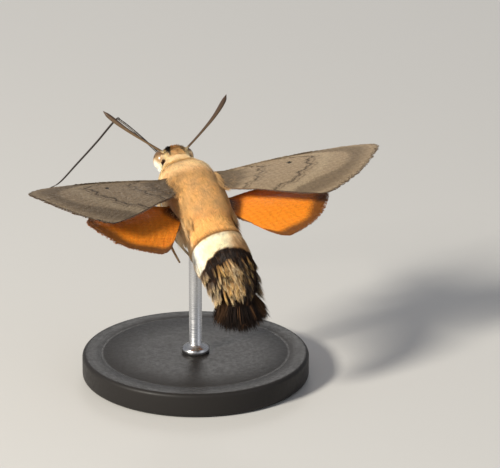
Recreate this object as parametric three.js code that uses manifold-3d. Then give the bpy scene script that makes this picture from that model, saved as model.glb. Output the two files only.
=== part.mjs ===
// Hummingbird hawk moth, hovering, life size, on a plain display stand.
// Millimetres. +Z is up, the moth faces +Y, and the origin is the centre of the stand's underside.
// Shapes are made in the moth's own frame: X to its right, Y forward, Z towards its back, centred in the thorax.
import * as THREE from "three";
import { mergeVertices } from "three/addons/utils/BufferGeometryUtils.js";
import Module from "manifold-3d";

const wasm = await Module();
wasm.setup();

// Driving dimensions
const GAP = 0.3;
const BODY_PITCH = 30;
const FLIGHT_HEIGHT = 23;
const THORAX_LENGTH = 10.8;
const THORAX_WIDTH = 8.3;
const HEAD_LENGTH = 3.5;
const HEAD_WIDTH = 4.0;
const ABDOMEN_LENGTH = 9.3;
const ABDOMEN_WIDTH = 7.4;
const ABDOMEN_DROP = 27;
const ABDOMEN_SWING = 7;
const TAIL_SPREAD = 38;
const FOREWING_LENGTH = 20.6;
const HINDWING_LENGTH = 12.6;
const WING_THICKNESS = 0.5;
const ANTENNA_LENGTH = 8.6;
const BASE_RADIUS = 14;
const BASE_THICKNESS = 3;
const ROD_RADIUS = 0.8;

const radians = THREE.MathUtils.degToRad;
const vec = (x, y, z) => new THREE.Vector3(x, y, z);

// Solids

// A closed geometry as a solid that can be joined and cut.
function solidOf(geometry) {
  const bare = geometry.index ? geometry.toNonIndexed() : geometry.clone();
  for (const name of Object.keys(bare.attributes)) {
    if (name !== "position") bare.deleteAttribute(name);
  }
  const merged = mergeVertices(bare, 1e-4);
  return new wasm.Manifold(
    new wasm.Mesh({
      numProp: 3,
      vertProperties: new Float32Array(merged.attributes.position.array),
      triVerts: new Uint32Array(merged.index.array),
    }),
  );
}

// The geometry of a solid's largest closed surface.
function geometryOf(solid) {
  const bodies = solid.decompose().sort((a, b) => b.volume() - a.volume());
  const mesh = bodies[0].getMesh();
  return new THREE.BufferGeometry()
    .setAttribute("position", new THREE.BufferAttribute(new Float32Array(mesh.vertProperties), 3))
    .setIndex(new THREE.BufferAttribute(new Uint32Array(mesh.triVerts), 1));
}

function joined(solids) {
  return solids.reduce((all, one) => all.add(one));
}

function cutBy(solid, cutters) {
  return cutters.reduce((rest, cutter) => rest.subtract(cutter), solid);
}

// A solid carried by a matrix, which may mirror it.
function moved(solid, matrix) {
  const mesh = solid.getMesh();
  const geometry = new THREE.BufferGeometry()
    .setAttribute("position", new THREE.BufferAttribute(new Float32Array(mesh.vertProperties), 3))
    .setIndex(new THREE.BufferAttribute(new Uint32Array(mesh.triVerts), 1))
    .applyMatrix4(matrix);
  if (matrix.determinant() < 0) geometry.index.array.reverse();
  return solidOf(geometry);
}

function mirrored(solid) {
  return moved(solid, new THREE.Matrix4().makeScale(-1, 1, 1));
}

// Skins closed rings, listed along the way they run, each counterclockwise seen from ahead.
function loft(rings) {
  const sides = rings[0].length;
  const points = rings.flat();
  const faces = [];
  for (let i = 0; i + 1 < rings.length; i++) {
    for (let j = 0; j < sides; j++) {
      const a = i * sides + j;
      const b = i * sides + ((j + 1) % sides);
      faces.push(a, b, b + sides, a, b + sides, a + sides);
    }
  }
  const caps = [
    [rings[0], 0, true],
    [rings[rings.length - 1], (rings.length - 1) * sides, false],
  ];
  for (const [ring, from, reversed] of caps) {
    const hub = points.length;
    points.push(ring.reduce((sum, p) => sum.add(p), vec(0, 0, 0)).divideScalar(sides));
    for (let j = 0; j < sides; j++) {
      const a = from + j;
      const b = from + ((j + 1) % sides);
      faces.push(hub, reversed ? b : a, reversed ? a : b);
    }
  }
  return solidOf(new THREE.BufferGeometry().setFromPoints(points).setIndex(faces));
}

// Rows of [place, value, value...] as a function of place that runs smoothly through them.
function smooth(rows) {
  return (t) => {
    const last = rows.length - 2;
    const found = rows.findIndex((row) => row[0] > t) - 1;
    const i = found < 0 ? (t <= rows[0][0] ? 0 : last) : found;
    const at = (k) => rows[Math.min(Math.max(k, 0), rows.length - 1)];
    const span = at(i + 1)[0] - at(i)[0];
    const s = THREE.MathUtils.clamp((t - at(i)[0]) / span, 0, 1);
    const slope = (k, c) => {
      const run = at(k + 1)[0] - at(k - 1)[0];
      return run ? ((at(k + 1)[c] - at(k - 1)[c]) / run) * span : 0;
    };
    return rows[0].slice(1).map((_, c) => {
      const [p, q] = [at(i)[c + 1], at(i + 1)[c + 1]];
      const [m, n] = [slope(i, c + 1), slope(i + 1, c + 1)];
      const [s2, s3] = [s * s, s * s * s];
      return (2 * s3 - 3 * s2 + 1) * p + (s3 - 2 * s2 + s) * m + (3 * s2 - 2 * s3) * q + (s3 - s2) * n;
    });
  };
}

// A body section: half width, height above and depth below the frame's centre, a little squarer than an ellipse.
function bodyRing(frame, [wide, high, low], sides, grow = 0) {
  const roundness = 0.92;
  const bow = (v) => Math.sign(v) * Math.abs(v) ** roundness;
  return Array.from({ length: sides }, (_, i) => {
    const a = (2 * Math.PI * i) / sides;
    const up = Math.sin(a) > 0 ? high : low;
    return frame.at
      .clone()
      .addScaledVector(frame.right, (wide + grow) * bow(Math.cos(a)))
      .addScaledVector(frame.up, (up + grow) * bow(Math.sin(a)));
  });
}

// A round tube along points, with a radius at each.
function tube(points, radii, sides, steps) {
  const curve = new THREE.CatmullRomCurve3(points);
  const radiusAt = smooth(radii.map((r, i) => [i / (radii.length - 1), r]));
  const rings = [];
  let side = null;
  for (let i = 0; i <= steps; i++) {
    const t = i / steps;
    const along = curve.getTangentAt(t);
    if (!side) side = Math.abs(along.x) > 0.8 ? vec(0, 0, 1) : vec(1, 0, 0);
    side = side.clone().addScaledVector(along, -side.dot(along)).normalize();
    const up = along.clone().cross(side);
    const [radius] = radiusAt(t);
    const at = curve.getPointAt(t);
    rings.push(
      Array.from({ length: sides }, (_, j) => {
        const a = (2 * Math.PI * j) / sides;
        const off = side.clone().multiplyScalar(radius * Math.cos(a)).addScaledVector(up, radius * Math.sin(a));
        return at.clone().add(off);
      }),
    );
  }
  return loft(rings);
}

function ellipsoid(centre, [x, y, z], grow = 0, across = 16, round = 12) {
  const ball = new THREE.SphereGeometry(1, across, round);
  ball.scale(x + grow, y + grow, z + grow).translate(centre.x, centre.y, centre.z);
  return solidOf(ball);
}

// Body frames: each has a centre, a direction to the right and one to the back, and runs tailwards

const THORAX_FRONT = 0.51 * THORAX_LENGTH;
const THORAX_REAR = THORAX_FRONT - THORAX_LENGTH;

// Share of the length, then half width, height and depth as shares of the thorax width.
const thoraxShape = smooth([
  [0, 0.3, 0.2, 0.42],
  [0.1, 0.4, 0.31, 0.45],
  [0.3, 0.475, 0.4, 0.48],
  [0.55, 0.5, 0.45, 0.49],
  [0.8, 0.48, 0.45, 0.46],
  [1, 0.42, 0.42, 0.41],
]);

function thorax(grow = 0, sides = 28, steps = 12) {
  const rings = [];
  for (let i = 0; i <= steps; i++) {
    const t = i / steps;
    const y = THORAX_FRONT - t * THORAX_LENGTH + grow * (1 - 2 * t);
    const frame = { at: vec(0, y, 0), right: vec(1, 0, 0), up: vec(0, 0, 1) };
    rings.push(bodyRing(frame, thoraxShape(t).map((v) => v * THORAX_WIDTH), sides, grow));
  }
  return loft(rings);
}

// The abdomen hangs from the thorax's rear face: it swings a little to the right and back, and drops towards the tail.
function spine(distance) {
  const pieces = 24;
  const at = vec(0, THORAX_REAR - GAP, 0);
  const wayAt = (s) => {
    const share = Math.min(Math.max(s / ABDOMEN_LENGTH, 0), 1);
    const drop = radians(ABDOMEN_DROP) * share ** 1.6;
    const swing = radians(ABDOMEN_SWING) * Math.sin(Math.PI * share);
    return vec(Math.sin(swing) * Math.cos(drop), -Math.cos(swing) * Math.cos(drop), -Math.sin(drop));
  };
  for (let i = 0; i < pieces; i++) {
    at.addScaledVector(wayAt((distance * (i + 0.5)) / pieces), distance / pieces);
  }
  const way = wayAt(distance);
  const right = vec(-way.y, way.x, 0).normalize();
  return { at, way, right, up: way.clone().cross(right) };
}

// Share of the length, then half width, height and depth as shares of the abdomen width.
const abdomenShape = smooth([
  [0, 0.47, 0.47, 0.47],
  [0.3, 0.5, 0.47, 0.48],
  [0.6, 0.49, 0.43, 0.44],
  [0.85, 0.42, 0.34, 0.36],
  [1, 0.33, 0.25, 0.27],
]);
const SEGMENTS = 7;
const SEGMENT_STEP = 0.14;

// Each segment widens to its rear edge, which stands a step proud of the next.
function abdomen(grow = 0, sides = 24) {
  const rings = [];
  for (let i = 0; i < SEGMENTS; i++) {
    for (const [share, step] of [
      [0, -SEGMENT_STEP / 2],
      [0.88, SEGMENT_STEP / 2],
    ]) {
      const t = i === SEGMENTS - 1 && share ? 1 : (i + share) / SEGMENTS;
      const frame = spine(t * ABDOMEN_LENGTH + grow * (2 * t - 1));
      rings.push(bodyRing(frame, abdomenShape(t).map((v) => v * ABDOMEN_WIDTH), sides, grow + step));
    }
  }
  return loft(rings);
}

// A point of the abdomen's surface: distance along it, angle up from its right side, depth below the surface.
function onAbdomen(distance, angle, depth) {
  const frame = spine(distance);
  const size = abdomenShape(distance / ABDOMEN_LENGTH).map((v) => v * ABDOMEN_WIDTH);
  return onRing(frame, size, angle, depth);
}

function onRing({ at, way, right, up }, [wide, high, low], angle, depth) {
  const [c, s] = [Math.cos(angle), Math.sin(angle)];
  const out = right.clone().multiplyScalar(c).addScaledVector(up, s);
  const place = at
    .clone()
    .addScaledVector(right, wide * c)
    .addScaledVector(up, (s > 0 ? high : low) * s)
    .addScaledVector(out, -depth);
  return { place, way, out };
}

// Locks: flattened tapered blades, broad near the root and pointed, bending along their length

function randomFrom(seed) {
  let state = seed;
  return () => {
    state = (state * 1664525 + 1013904223) % 4294967296;
    return state / 4294967296;
  };
}

// A blade from root along way, its flat face towards out; lift turns its tip outwards, sway to the side.
function lock({ root, way, out, length, width, thickness, lift = 0, sway = 0 }) {
  const steps = 4;
  const side = out.clone().cross(way).normalize();
  const face = way.clone().cross(side);
  const widths = smooth([[0, 0.6], [0.35, 1], [0.7, 0.75], [1, 0.16]]);
  const rings = [];
  for (let i = 0; i <= steps; i++) {
    const t = i / steps;
    const at = root
      .clone()
      .addScaledVector(way, t * length)
      .addScaledVector(face, lift * length * t * t)
      .addScaledVector(side, sway * length * t * t);
    const half = (width / 2) * widths(t)[0];
    const deep = (thickness / 2) * (1 - 0.6 * t * t);
    rings.push(
      [
        [1, 0],
        [0.45, 1],
        [-0.45, 1],
        [-1, 0],
        [-0.45, -1],
        [0.45, -1],
      ].map(([u, v]) => at.clone().addScaledVector(side, u * half).addScaledVector(face, v * deep)),
    );
  }
  return loft(rings);
}

// Tufts along both flanks of the rear segments: distance along the abdomen, angle below the side, length.
const flankTufts = [
  [4.3, 12, 1.6],
  [5.7, 4, 1.8],
  [7.0, 0, 2.0],
  [8.2, -4, 2.2],
];

function abdomenLocks() {
  const random = randomFrom(7);
  const made = [];
  for (const side of [1, -1]) {
    for (const [distance, below, length] of flankTufts) {
      for (const [turn, along, share] of [
        [-17, -0.2, 0.85],
        [0, 0, 1],
        [17, 0.15, 0.85],
      ]) {
        const angle = radians(side > 0 ? -below + turn : 180 + below - turn);
        const { place, way, out } = onAbdomen(distance + along, angle, 0.35);
        made.push(
          lock({
            root: place,
            way: way.clone().addScaledVector(out, 0.15 + 0.08 * random()).normalize(),
            out,
            length: length * share * (0.95 + 0.1 * random()),
            width: 1.0,
            thickness: 0.55,
            lift: 0.04,
            sway: 0.06 * (random() - 0.5),
          }),
        );
      }
    }
  }
  return made;
}

// Long hair locks from the rear of the thorax, lying over the base of the abdomen above and below the hindwing.
const napeLocks = [
  [56, 3.2],
  [44, 3.7],
  [32, 3.9],
  [-26, 3.6],
  [-42, 3.3],
];

function thoraxLocks() {
  const t = 0.84;
  const frame = { at: vec(0, THORAX_FRONT - t * THORAX_LENGTH, 0), way: vec(0, -1, 0), right: vec(1, 0, 0), up: vec(0, 0, 1) };
  const size = thoraxShape(t).map((v) => v * THORAX_WIDTH);
  const random = randomFrom(3);
  const made = [];
  for (const side of [1, -1]) {
    for (const [angle, length] of napeLocks) {
      const { place, way, out } = onRing(frame, size, radians(side > 0 ? angle : 180 - angle), 0.15);
      made.push(
        lock({
          root: place,
          way: way.clone().addScaledVector(out, 0.17).normalize(),
          out,
          length: length * (0.95 + 0.1 * random()),
          width: 1.0,
          thickness: 0.5,
          sway: 0.05 * (random() - 0.5),
        }),
      );
    }
  }
  return made;
}

// Tail

const TAIL_START = ABDOMEN_LENGTH + GAP;

// Layers of the fan from the underside up: number of blades, height of their roots, length, spread.
const tailLayers = [
  [6, -0.75, 3.1, 0.8],
  [9, -0.25, 4.0, 1],
  [8, 0.25, 3.6, 0.9],
  [7, 0.7, 2.8, 0.75],
];

function tailCore() {
  const shape = smooth([
    [0, 2.35, 1.55, 1.65],
    [0.5, 2.2, 1.0, 1.05],
    [1, 1.5, 0.35, 0.35],
  ]);
  const rings = [];
  for (let i = 0; i <= 4; i++) {
    rings.push(bodyRing(spine(TAIL_START + (i / 4) * 2.4), shape(i / 4), 20));
  }
  return loft(rings);
}

function tailLocks() {
  const random = randomFrom(11);
  const base = spine(TAIL_START + 0.4);
  return tailLayers.flatMap(([count, height, length, spread]) =>
    Array.from({ length: count }, (_, i) => {
      const share = (2 * i) / (count - 1) - 1;
      const angle = radians(TAIL_SPREAD) * spread * share;
      return lock({
        root: base.at
          .clone()
          .addScaledVector(base.right, 1.65 * spread * share)
          .addScaledVector(base.up, height * (1 - 0.4 * share * share)),
        way: base.way
          .clone()
          .multiplyScalar(Math.cos(angle))
          .addScaledVector(base.right, Math.sin(angle))
          .addScaledVector(base.up, -0.12 * height)
          .normalize(),
        out: base.up,
        length: length * (1 - 0.12 * share * share + 0.06 * (random() - 0.5)),
        width: 1.25,
        thickness: 0.55,
        lift: -0.03 * Math.sign(height),
        sway: 0.05 * (random() - 0.5),
      });
    }),
  );
}

// Head

const HEAD_BOW = 10;
const headFrame = new THREE.Matrix4()
  .makeRotationX(-radians(HEAD_BOW))
  .setPosition(0, THORAX_FRONT + GAP, -0.55);

// Places a point given in the head's frame: X right, Y forward from the head's rear face, Z up.
function inHead(x, y, z) {
  return vec(x, y, z).applyMatrix4(headFrame);
}

const headShape = smooth([
  [0, 0.44, 0.4, 0.44],
  [0.25, 0.5, 0.46, 0.5],
  [0.55, 0.47, 0.42, 0.48],
  [0.8, 0.34, 0.3, 0.36],
  [1, 0.16, 0.14, 0.16],
]);

function head(grow = 0) {
  const steps = 9;
  const rings = [];
  for (let i = 0; i <= steps; i++) {
    const t = 1 - i / steps;
    const at = inHead(0, t * HEAD_LENGTH + grow * (2 * t - 1), 0);
    const right = inHead(1, 0, 0).sub(inHead(0, 0, 0));
    const up = inHead(0, 0, 1).sub(inHead(0, 0, 0));
    rings.push(bodyRing({ at, right, up }, headShape(t).map((v) => v * HEAD_WIDTH), 20, grow));
  }
  return loft(rings);
}

const EYE_SIZE = [0.95, 1.2, 1.3];
const eyeCentre = inHead(0.42 * HEAD_WIDTH, 0.52 * HEAD_LENGTH, -0.1);

const palpPath = [inHead(0.85, 1.6, -1.7), inHead(0.8, 3, -1.75), inHead(0.7, 3.9, -1.1)];

function palp(grow = 0) {
  return tube(palpPath, [0.55 + grow, 0.62 + grow, 0.3 + grow], 10, 6);
}

// Antenna: thin at the root, widest short of the hooked tip
const antennaRoot = inHead(0.41 * HEAD_WIDTH, 0.55 * HEAD_LENGTH, 0.31 * HEAD_WIDTH);
const antennaWay = vec(6.0, 4.4, 2.7).normalize();

function antenna() {
  const at = (share, lift) => antennaRoot.clone().addScaledVector(antennaWay, share * ANTENNA_LENGTH).add(vec(0, lift, 0));
  const points = [at(0, 0), at(0.3, -0.25), at(0.65, -0.3), at(0.9, 0.05), at(1, 0.4)];
  return tube(points, [0.25, 0.25, 0.3, 0.34, 0.12], 8, 12);
}

// Proboscis: forward from the mouth to its knee, then down towards the flower
function proboscisUpper(grow = 0) {
  const points = [inHead(0, 2.6 - grow, -1.75), vec(-0.9, 10.6, -2.7), vec(-2.4, 14.2, -2.9), vec(-3.7, 16.4, -2.9)];
  return tube(points, [0.3, 0.27, 0.26, 0.26].map((r) => r + grow), 8, 14);
}

function proboscisLower(grow = 0) {
  const points = [
    vec(-4.1, 16.9, -3.35),
    vec(-5.6, 17.4, -7.8),
    vec(-7.2, 18.1, -12.4),
    vec(-8.7, 18.5, -16),
    vec(-10.1, 18.6, -17.1),
  ];
  return tube(points, [0.26, 0.25, 0.25, 0.2, 0.12].map((r) => r + grow), 8, 16);
}

// Wings, leaning nose down by their pitch: rays run from the root to the margin, three to a vein, so that each vein is a ridge in the surface

// A point on the line through the rows of one ray: root, end of the cell, margin.
function rayPoint(row, t) {
  const curve = new THREE.QuadraticBezierCurve(...row.map(([u, v]) => new THREE.Vector2(u, v)));
  return curve.getPoint(t);
}

const wingTypes = {
  forewing: {
    length: FOREWING_LENGTH,
    root: vec(3.1, 1.6, 1.5),
    way: vec(0.97, -0.06, 0.2),
    pitch: 16,
    camber: 0.5,
    stations: 9,
    // Each ray as shares of the wing length: root, bend, margin. The first and last are the wing's edges.
    rays: [
      [[0, 0.04], [0.3, 0.065], [0.62, 0.045]],
      [[0, 0.03], [0.35, 0.05], [0.73, 0.035]],
      [[0, 0.02], [0.45, 0.03], [0.83, 0.018]],
      [[0, 0.01], [0.5, 0.012], [0.92, -0.008]],
      [[0, 0.0], [0.5, -0.012], [0.985, -0.045]],
      [[0, -0.012], [0.5, -0.035], [0.975, -0.095]],
      [[0, -0.024], [0.5, -0.06], [0.925, -0.16]],
      [[0, -0.036], [0.5, -0.085], [0.865, -0.22]],
      [[0, -0.048], [0.48, -0.115], [0.795, -0.275]],
      [[0, -0.06], [0.44, -0.145], [0.715, -0.32]],
      [[0, -0.072], [0.38, -0.185], [0.635, -0.355]],
      [[0, -0.085], [0.3, -0.2], [0.58, -0.37]],
      [[0, -0.1], [0.22, -0.25], [0.55, -0.365]],
    ],
  },
  hindwing: {
    length: HINDWING_LENGTH,
    root: vec(3.3, -1.9, 0.35),
    way: vec(0.95, -0.1, 0.16),
    pitch: 14,
    camber: 0.3,
    stations: 8,
    rays: [
      [[0, 0.07], [0.35, 0.2], [0.75, 0.17]],
      [[0, 0.05], [0.4, 0.13], [0.9, 0.1]],
      [[0, 0.03], [0.45, 0.06], [1, -0.02]],
      [[0, 0.01], [0.45, 0.0], [0.98, -0.17]],
      [[0, -0.01], [0.45, -0.06], [0.88, -0.34]],
      [[0, -0.03], [0.42, -0.12], [0.75, -0.47]],
      [[0, -0.05], [0.36, -0.18], [0.6, -0.56]],
      [[0, -0.07], [0.28, -0.22], [0.49, -0.6]],
      [[0, -0.09], [0.2, -0.23], [0.4, -0.57]],
      [[0, -0.11], [0.12, -0.26], [0.32, -0.5]],
    ],
  },
};

const VEIN_RISE = 0.14;
const VEIN_HALF_WIDTH = 0.16;
const EDGE_THICKNESS = 0.4;

function wing({ length, root, way, pitch, camber, stations, rays }) {
  const span = way.clone().normalize();
  const level = vec(0, 1, 0).addScaledVector(span, -span.y).normalize();
  const front = level.applyAxisAngle(span, -radians(pitch));
  const normal = span.clone().cross(front);
  const lines = [];
  rays.forEach((row, k) => {
    const line = (from, share, rise) => ({ row, beside: rays[from], share, rise });
    if (k > 0 && k < rays.length - 1) {
      lines.push(line(k - 1, VEIN_HALF_WIDTH, 0), line(k, 0, VEIN_RISE), line(k + 1, VEIN_HALF_WIDTH, 0));
    } else lines.push({ ...line(k, 0, 0), edge: true });
  });
  const rows = [];
  for (let i = 0; i <= stations; i++) {
    const t = i / stations;
    rows.push(
      lines.map(({ row, beside, share, rise, edge }) => {
        const p = rayPoint(row, t).multiplyScalar(length);
        const q = rayPoint(beside, t).multiplyScalar(length);
        const reach = p.distanceTo(q);
        if (reach) p.lerp(q, Math.min(share / reach, 0.3));
        const fade = Math.min(1, 4 * (1 - t));
        const half = (edge || i === stations ? EDGE_THICKNESS : WING_THICKNESS) / 2 + rise * fade;
        const bow = camber * Math.sin(Math.PI * Math.min(Math.max(-p.y / (0.4 * length) + 0.1, 0), 1)) * Math.min(1, p.x / 4);
        return { u: p.x, v: p.y, half, bow };
      }),
    );
  }
  const across = lines.length;
  const points = [];
  for (const side of [1, -1]) {
    for (const row of rows) {
      for (const { u, v, half, bow } of row) {
        points.push(
          root.clone().addScaledVector(span, u).addScaledVector(front, v).addScaledVector(normal, bow + side * half),
        );
      }
    }
  }
  const faces = [];
  const under = rows.length * across;
  for (let i = 0; i < stations; i++) {
    for (let j = 0; j + 1 < across; j++) {
      const a = i * across + j;
      const c = a + across;
      faces.push(a, a + 1, c + 1, a, c + 1, c);
      faces.push(under + a, under + c + 1, under + a + 1, under + a, under + c, under + c + 1);
    }
  }
  const rim = [];
  for (let j = 0; j + 1 < across; j++) rim.push(j);
  for (let i = 0; i < stations; i++) rim.push(i * across + across - 1);
  for (let j = across - 1; j > 0; j--) rim.push(stations * across + j);
  for (let i = stations; i > 0; i--) rim.push(i * across);
  rim.forEach((a, n) => {
    const b = rim[(n + 1) % rim.length];
    faces.push(a, b + under, b, a, a + under, b + under);
  });
  return new THREE.BufferGeometry().setFromPoints(points).setIndex(faces);
}

// Legs, folded under the body and trailing back: hip, knee, ankle and toe of each right leg
const legs = {
  fore: [vec(1.5, 3.2, -3.8), vec(2.4, 5.3, -4.5), vec(2.2, 2.6, -5.6), vec(1.7, -1.0, -5.9)],
  mid: [vec(2.5, 0.9, -3.6), vec(3.9, 0.1, -3.3), vec(4.15, -3.3, -2.8), vec(4.0, -7.2, -2.7)],
  hind: [vec(1.9, -1.6, -3.8), vec(2.6, 0.8, -4.7), vec(2.0, -2.4, -5.0), vec(1.2, -5.6, -4.7)],
};
const legLengths = ["femur", "tibia", "tarsus"];
const legRadii = [
  [0.42, 0.4, 0.34],
  [0.32, 0.34, 0.3],
  [0.26, 0.25, 0.16],
];

function legPiece(joints, k, grow = 0) {
  const way = joints[k + 1].clone().sub(joints[k]).normalize();
  const from = joints[k].clone().addScaledVector(way, (k ? 0.3 : 0) - grow);
  const to = joints[k + 1].clone().addScaledVector(way, (k < 2 ? -0.3 : 0) + grow);
  return tube([from, from.clone().lerp(to, 0.5), to], legRadii[k].map((r) => r + grow), 8, 4);
}

// Assembly

const paint = {
  fur: { color: 0xb98a55, roughness: 0.95 },
  darkFur: { color: 0x3a2a1d, roughness: 0.95 },
  eye: { color: 0x2a1a12, roughness: 0.15 },
  horn: { color: 0x33241a, roughness: 0.6 },
  forewing: { color: 0x7b6650, roughness: 0.8 },
  hindwing: { color: 0xd9761a, roughness: 0.8 },
  base: { color: 0x1b1917, roughness: 0.35 },
  rod: { color: 0x9a9a98, roughness: 0.3, metalness: 1 },
};
const materials = Object.fromEntries(
  Object.entries(paint).map(([name, look]) => [name, new THREE.MeshStandardMaterial(look)]),
);

const moth = new THREE.Group();
const model = new THREE.Group().add(moth);
moth.rotation.x = radians(BODY_PITCH);
moth.position.z = FLIGHT_HEIGHT;

function add(group, name, solid, look) {
  const mesh = new THREE.Mesh(geometryOf(solid), materials[look]);
  mesh.name = name;
  group.add(mesh);
}

function addPair(name, solid, look, cutters = { right: [], left: [] }) {
  add(moth, `${name}_right`, cutBy(solid, cutters.right), look);
  add(moth, `${name}_left`, cutBy(mirrored(solid), cutters.left), look);
}

const clearThorax = thorax(GAP);
const clearAbdomen = abdomen(GAP);
const clearHead = head(GAP);
const eye = ellipsoid(eyeCentre, EYE_SIZE);
const clearEye = ellipsoid(eyeCentre, EYE_SIZE, GAP);
const clearProboscis = proboscisUpper(GAP);
const bothEyes = [clearEye, mirrored(clearEye)];

add(moth, "thorax", joined([thorax(), ...thoraxLocks()]), "fur");
add(moth, "abdomen", joined([abdomen(), ...abdomenLocks()]), "fur");
add(moth, "tail_fan", joined([tailCore(), ...tailLocks()]).subtract(clearAbdomen), "darkFur");
add(moth, "head", cutBy(head(), [clearThorax, ...bothEyes]), "fur");
addPair("eye", eye, "eye");
const palpCutters = [clearHead, clearProboscis, ...bothEyes];
addPair("palp", palp(), "fur", { right: palpCutters, left: palpCutters });
addPair("antenna", antenna(), "horn", { right: [clearHead, ...bothEyes], left: [clearHead, ...bothEyes] });
add(moth, "proboscis_upper", proboscisUpper().subtract(clearHead), "horn");
add(moth, "proboscis_lower", proboscisLower(), "horn");
for (const [name, type] of Object.entries(wingTypes)) {
  const body = [clearThorax, clearAbdomen];
  addPair(name, solidOf(wing(type)), name, { right: body, left: body });
}
for (const [name, joints] of Object.entries(legs)) {
  legLengths.forEach((length, k) => {
    const before = k ? [legPiece(joints, k - 1, GAP)] : [];
    addPair(`${name}_${length}`, legPiece(joints, k), "horn", {
      right: [clearThorax, clearAbdomen, ...before],
      left: [clearThorax, clearAbdomen, ...before.map(mirrored)],
    });
  });
}

// Stand

function standBase() {
  const bevel = 0.5;
  const rim = BASE_RADIUS - bevel;
  const profile = [
    [0, 0],
    [BASE_RADIUS - bevel / 2, 0],
    [BASE_RADIUS, bevel / 2],
    [BASE_RADIUS, BASE_THICKNESS - bevel],
    [rim, BASE_THICKNESS],
    [0, BASE_THICKNESS],
  ].map(([x, y]) => new THREE.Vector2(x, y));
  return solidOf(new THREE.LatheGeometry(profile, 48).rotateX(Math.PI / 2));
}

function standRod() {
  const top = FLIGHT_HEIGHT - 2;
  const bottom = BASE_THICKNESS + GAP;
  const rod = new THREE.CylinderGeometry(ROD_RADIUS, ROD_RADIUS, top - bottom, 16).rotateX(Math.PI / 2);
  rod.translate(0, 0, (top + bottom) / 2);
  moth.updateMatrixWorld(true);
  return solidOf(rod).subtract(moved(clearThorax, moth.matrixWorld));
}

add(model, "stand_base", standBase(), "base");
add(model, "stand_rod", standRod(), "rod");

export default model;
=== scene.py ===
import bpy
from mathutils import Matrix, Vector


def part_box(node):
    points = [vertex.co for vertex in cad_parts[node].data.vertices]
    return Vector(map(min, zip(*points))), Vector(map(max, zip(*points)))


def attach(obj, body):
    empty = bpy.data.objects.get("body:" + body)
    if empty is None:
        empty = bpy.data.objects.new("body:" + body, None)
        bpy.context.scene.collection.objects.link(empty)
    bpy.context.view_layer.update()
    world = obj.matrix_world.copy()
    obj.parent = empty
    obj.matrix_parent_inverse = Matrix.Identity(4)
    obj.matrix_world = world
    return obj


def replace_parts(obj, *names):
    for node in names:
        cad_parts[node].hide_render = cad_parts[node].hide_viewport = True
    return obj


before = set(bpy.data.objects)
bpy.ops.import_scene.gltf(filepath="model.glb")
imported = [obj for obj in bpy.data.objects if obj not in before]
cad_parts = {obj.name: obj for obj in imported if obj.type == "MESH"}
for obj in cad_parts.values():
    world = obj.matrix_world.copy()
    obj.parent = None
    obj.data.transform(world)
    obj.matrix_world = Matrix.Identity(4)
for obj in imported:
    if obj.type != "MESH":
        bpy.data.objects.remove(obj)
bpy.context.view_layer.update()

import math

import bpy
import numpy as np
from mathutils import Vector

# The moth's own frame, as in the solids: millimetres, X to its right, Y forward, Z towards its back, centred
# in the thorax. It is pitched up and lifted above the stand.
MM = 0.001
PITCH = math.radians(30)
FLIGHT_HEIGHT = 23.0
THORAX_LENGTH, THORAX_WIDTH = 10.8, 8.3
HEAD_LENGTH, HEAD_WIDTH, HEAD_BOW = 3.5, 4.0, math.radians(10)
ABDOMEN_LENGTH, ABDOMEN_WIDTH = 9.3, 7.4
ABDOMEN_DROP, ABDOMEN_SWING = math.radians(27), math.radians(7)
GAP = 0.3
THORAX_FRONT = 0.51 * THORAX_LENGTH
WAIST = THORAX_FRONT - THORAX_LENGTH - GAP
BASE_RADIUS, BASE_THICKNESS, ROD_RADIUS = 14.0, 3.0, 0.8

X, Y, Z = np.eye(3)
SIDES = (("right", 1), ("left", -1))


# Small tools

def unit(v):
    return v / np.maximum(np.linalg.norm(v, axis=-1, keepdims=True), 1e-9)


def col(a):
    """A number per point, ready to scale a vector per point."""
    return np.asarray(a, float)[..., None]


def toward(side, up, angle):
    """The direction at an angle from side towards up."""
    return side * col(np.cos(angle)) + up * col(np.sin(angle))


def step(a, b, x):
    """A soft step from 0 at a to 1 at b."""
    t = np.clip((x - a) / (b - a), 0, 1)
    return t * t * (3 - 2 * t)


def bell(x, centre, half):
    return np.exp(-(((x - centre) / half) ** 2))


def mix(a, b, share):
    return a + (b - a) * col(share)


def layered(base, *layers):
    """The base colour with (colour, share) laid over it one after another."""
    for colour, share in layers:
        base = mix(base, colour, share)
    return base


def rgb(text):
    """A linear colour from its hexadecimal form."""
    c = np.array([int(text[i:i + 2], 16) for i in (0, 2, 4)]) / 255
    return np.where(c < 0.04045, c / 12.92, ((c + 0.055) / 1.055) ** 2.4)


def vectors(*parts):
    return np.stack(np.broadcast_arrays(*parts), -1)


def lengths(points):
    """How far along a line of points each of them lies."""
    return np.concatenate([[0], np.cumsum(np.linalg.norm(np.diff(points, axis=0), axis=-1))])


def smooth(rows):
    """A smooth function through rows of [place, value, value...], the same as in the solids."""
    rows = np.array(rows, float)
    x, y = rows[:, 0], rows[:, 1:]
    lo, hi = np.maximum(np.arange(len(x)) - 1, 0), np.minimum(np.arange(len(x)) + 1, len(x) - 1)
    slope = (y[hi] - y[lo]) / (x[hi] - x[lo])[:, None]

    def at(t):
        t = np.asarray(t, float)
        i = np.clip(np.searchsorted(x, t, side="right") - 1, 0, len(x) - 2)
        span = x[i + 1] - x[i]
        s = np.clip((t - x[i]) / span, 0, 1)[..., None]
        m, n = slope[i] * span[..., None], slope[i + 1] * span[..., None]
        s2, s3 = s * s, s ** 3
        start, end = (2 * s3 - 3 * s2 + 1) * y[i] + (s3 - 2 * s2 + s) * m, (3 * s2 - 2 * s3) * y[i + 1]
        return start + end + (s3 - s2) * n

    return at


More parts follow.
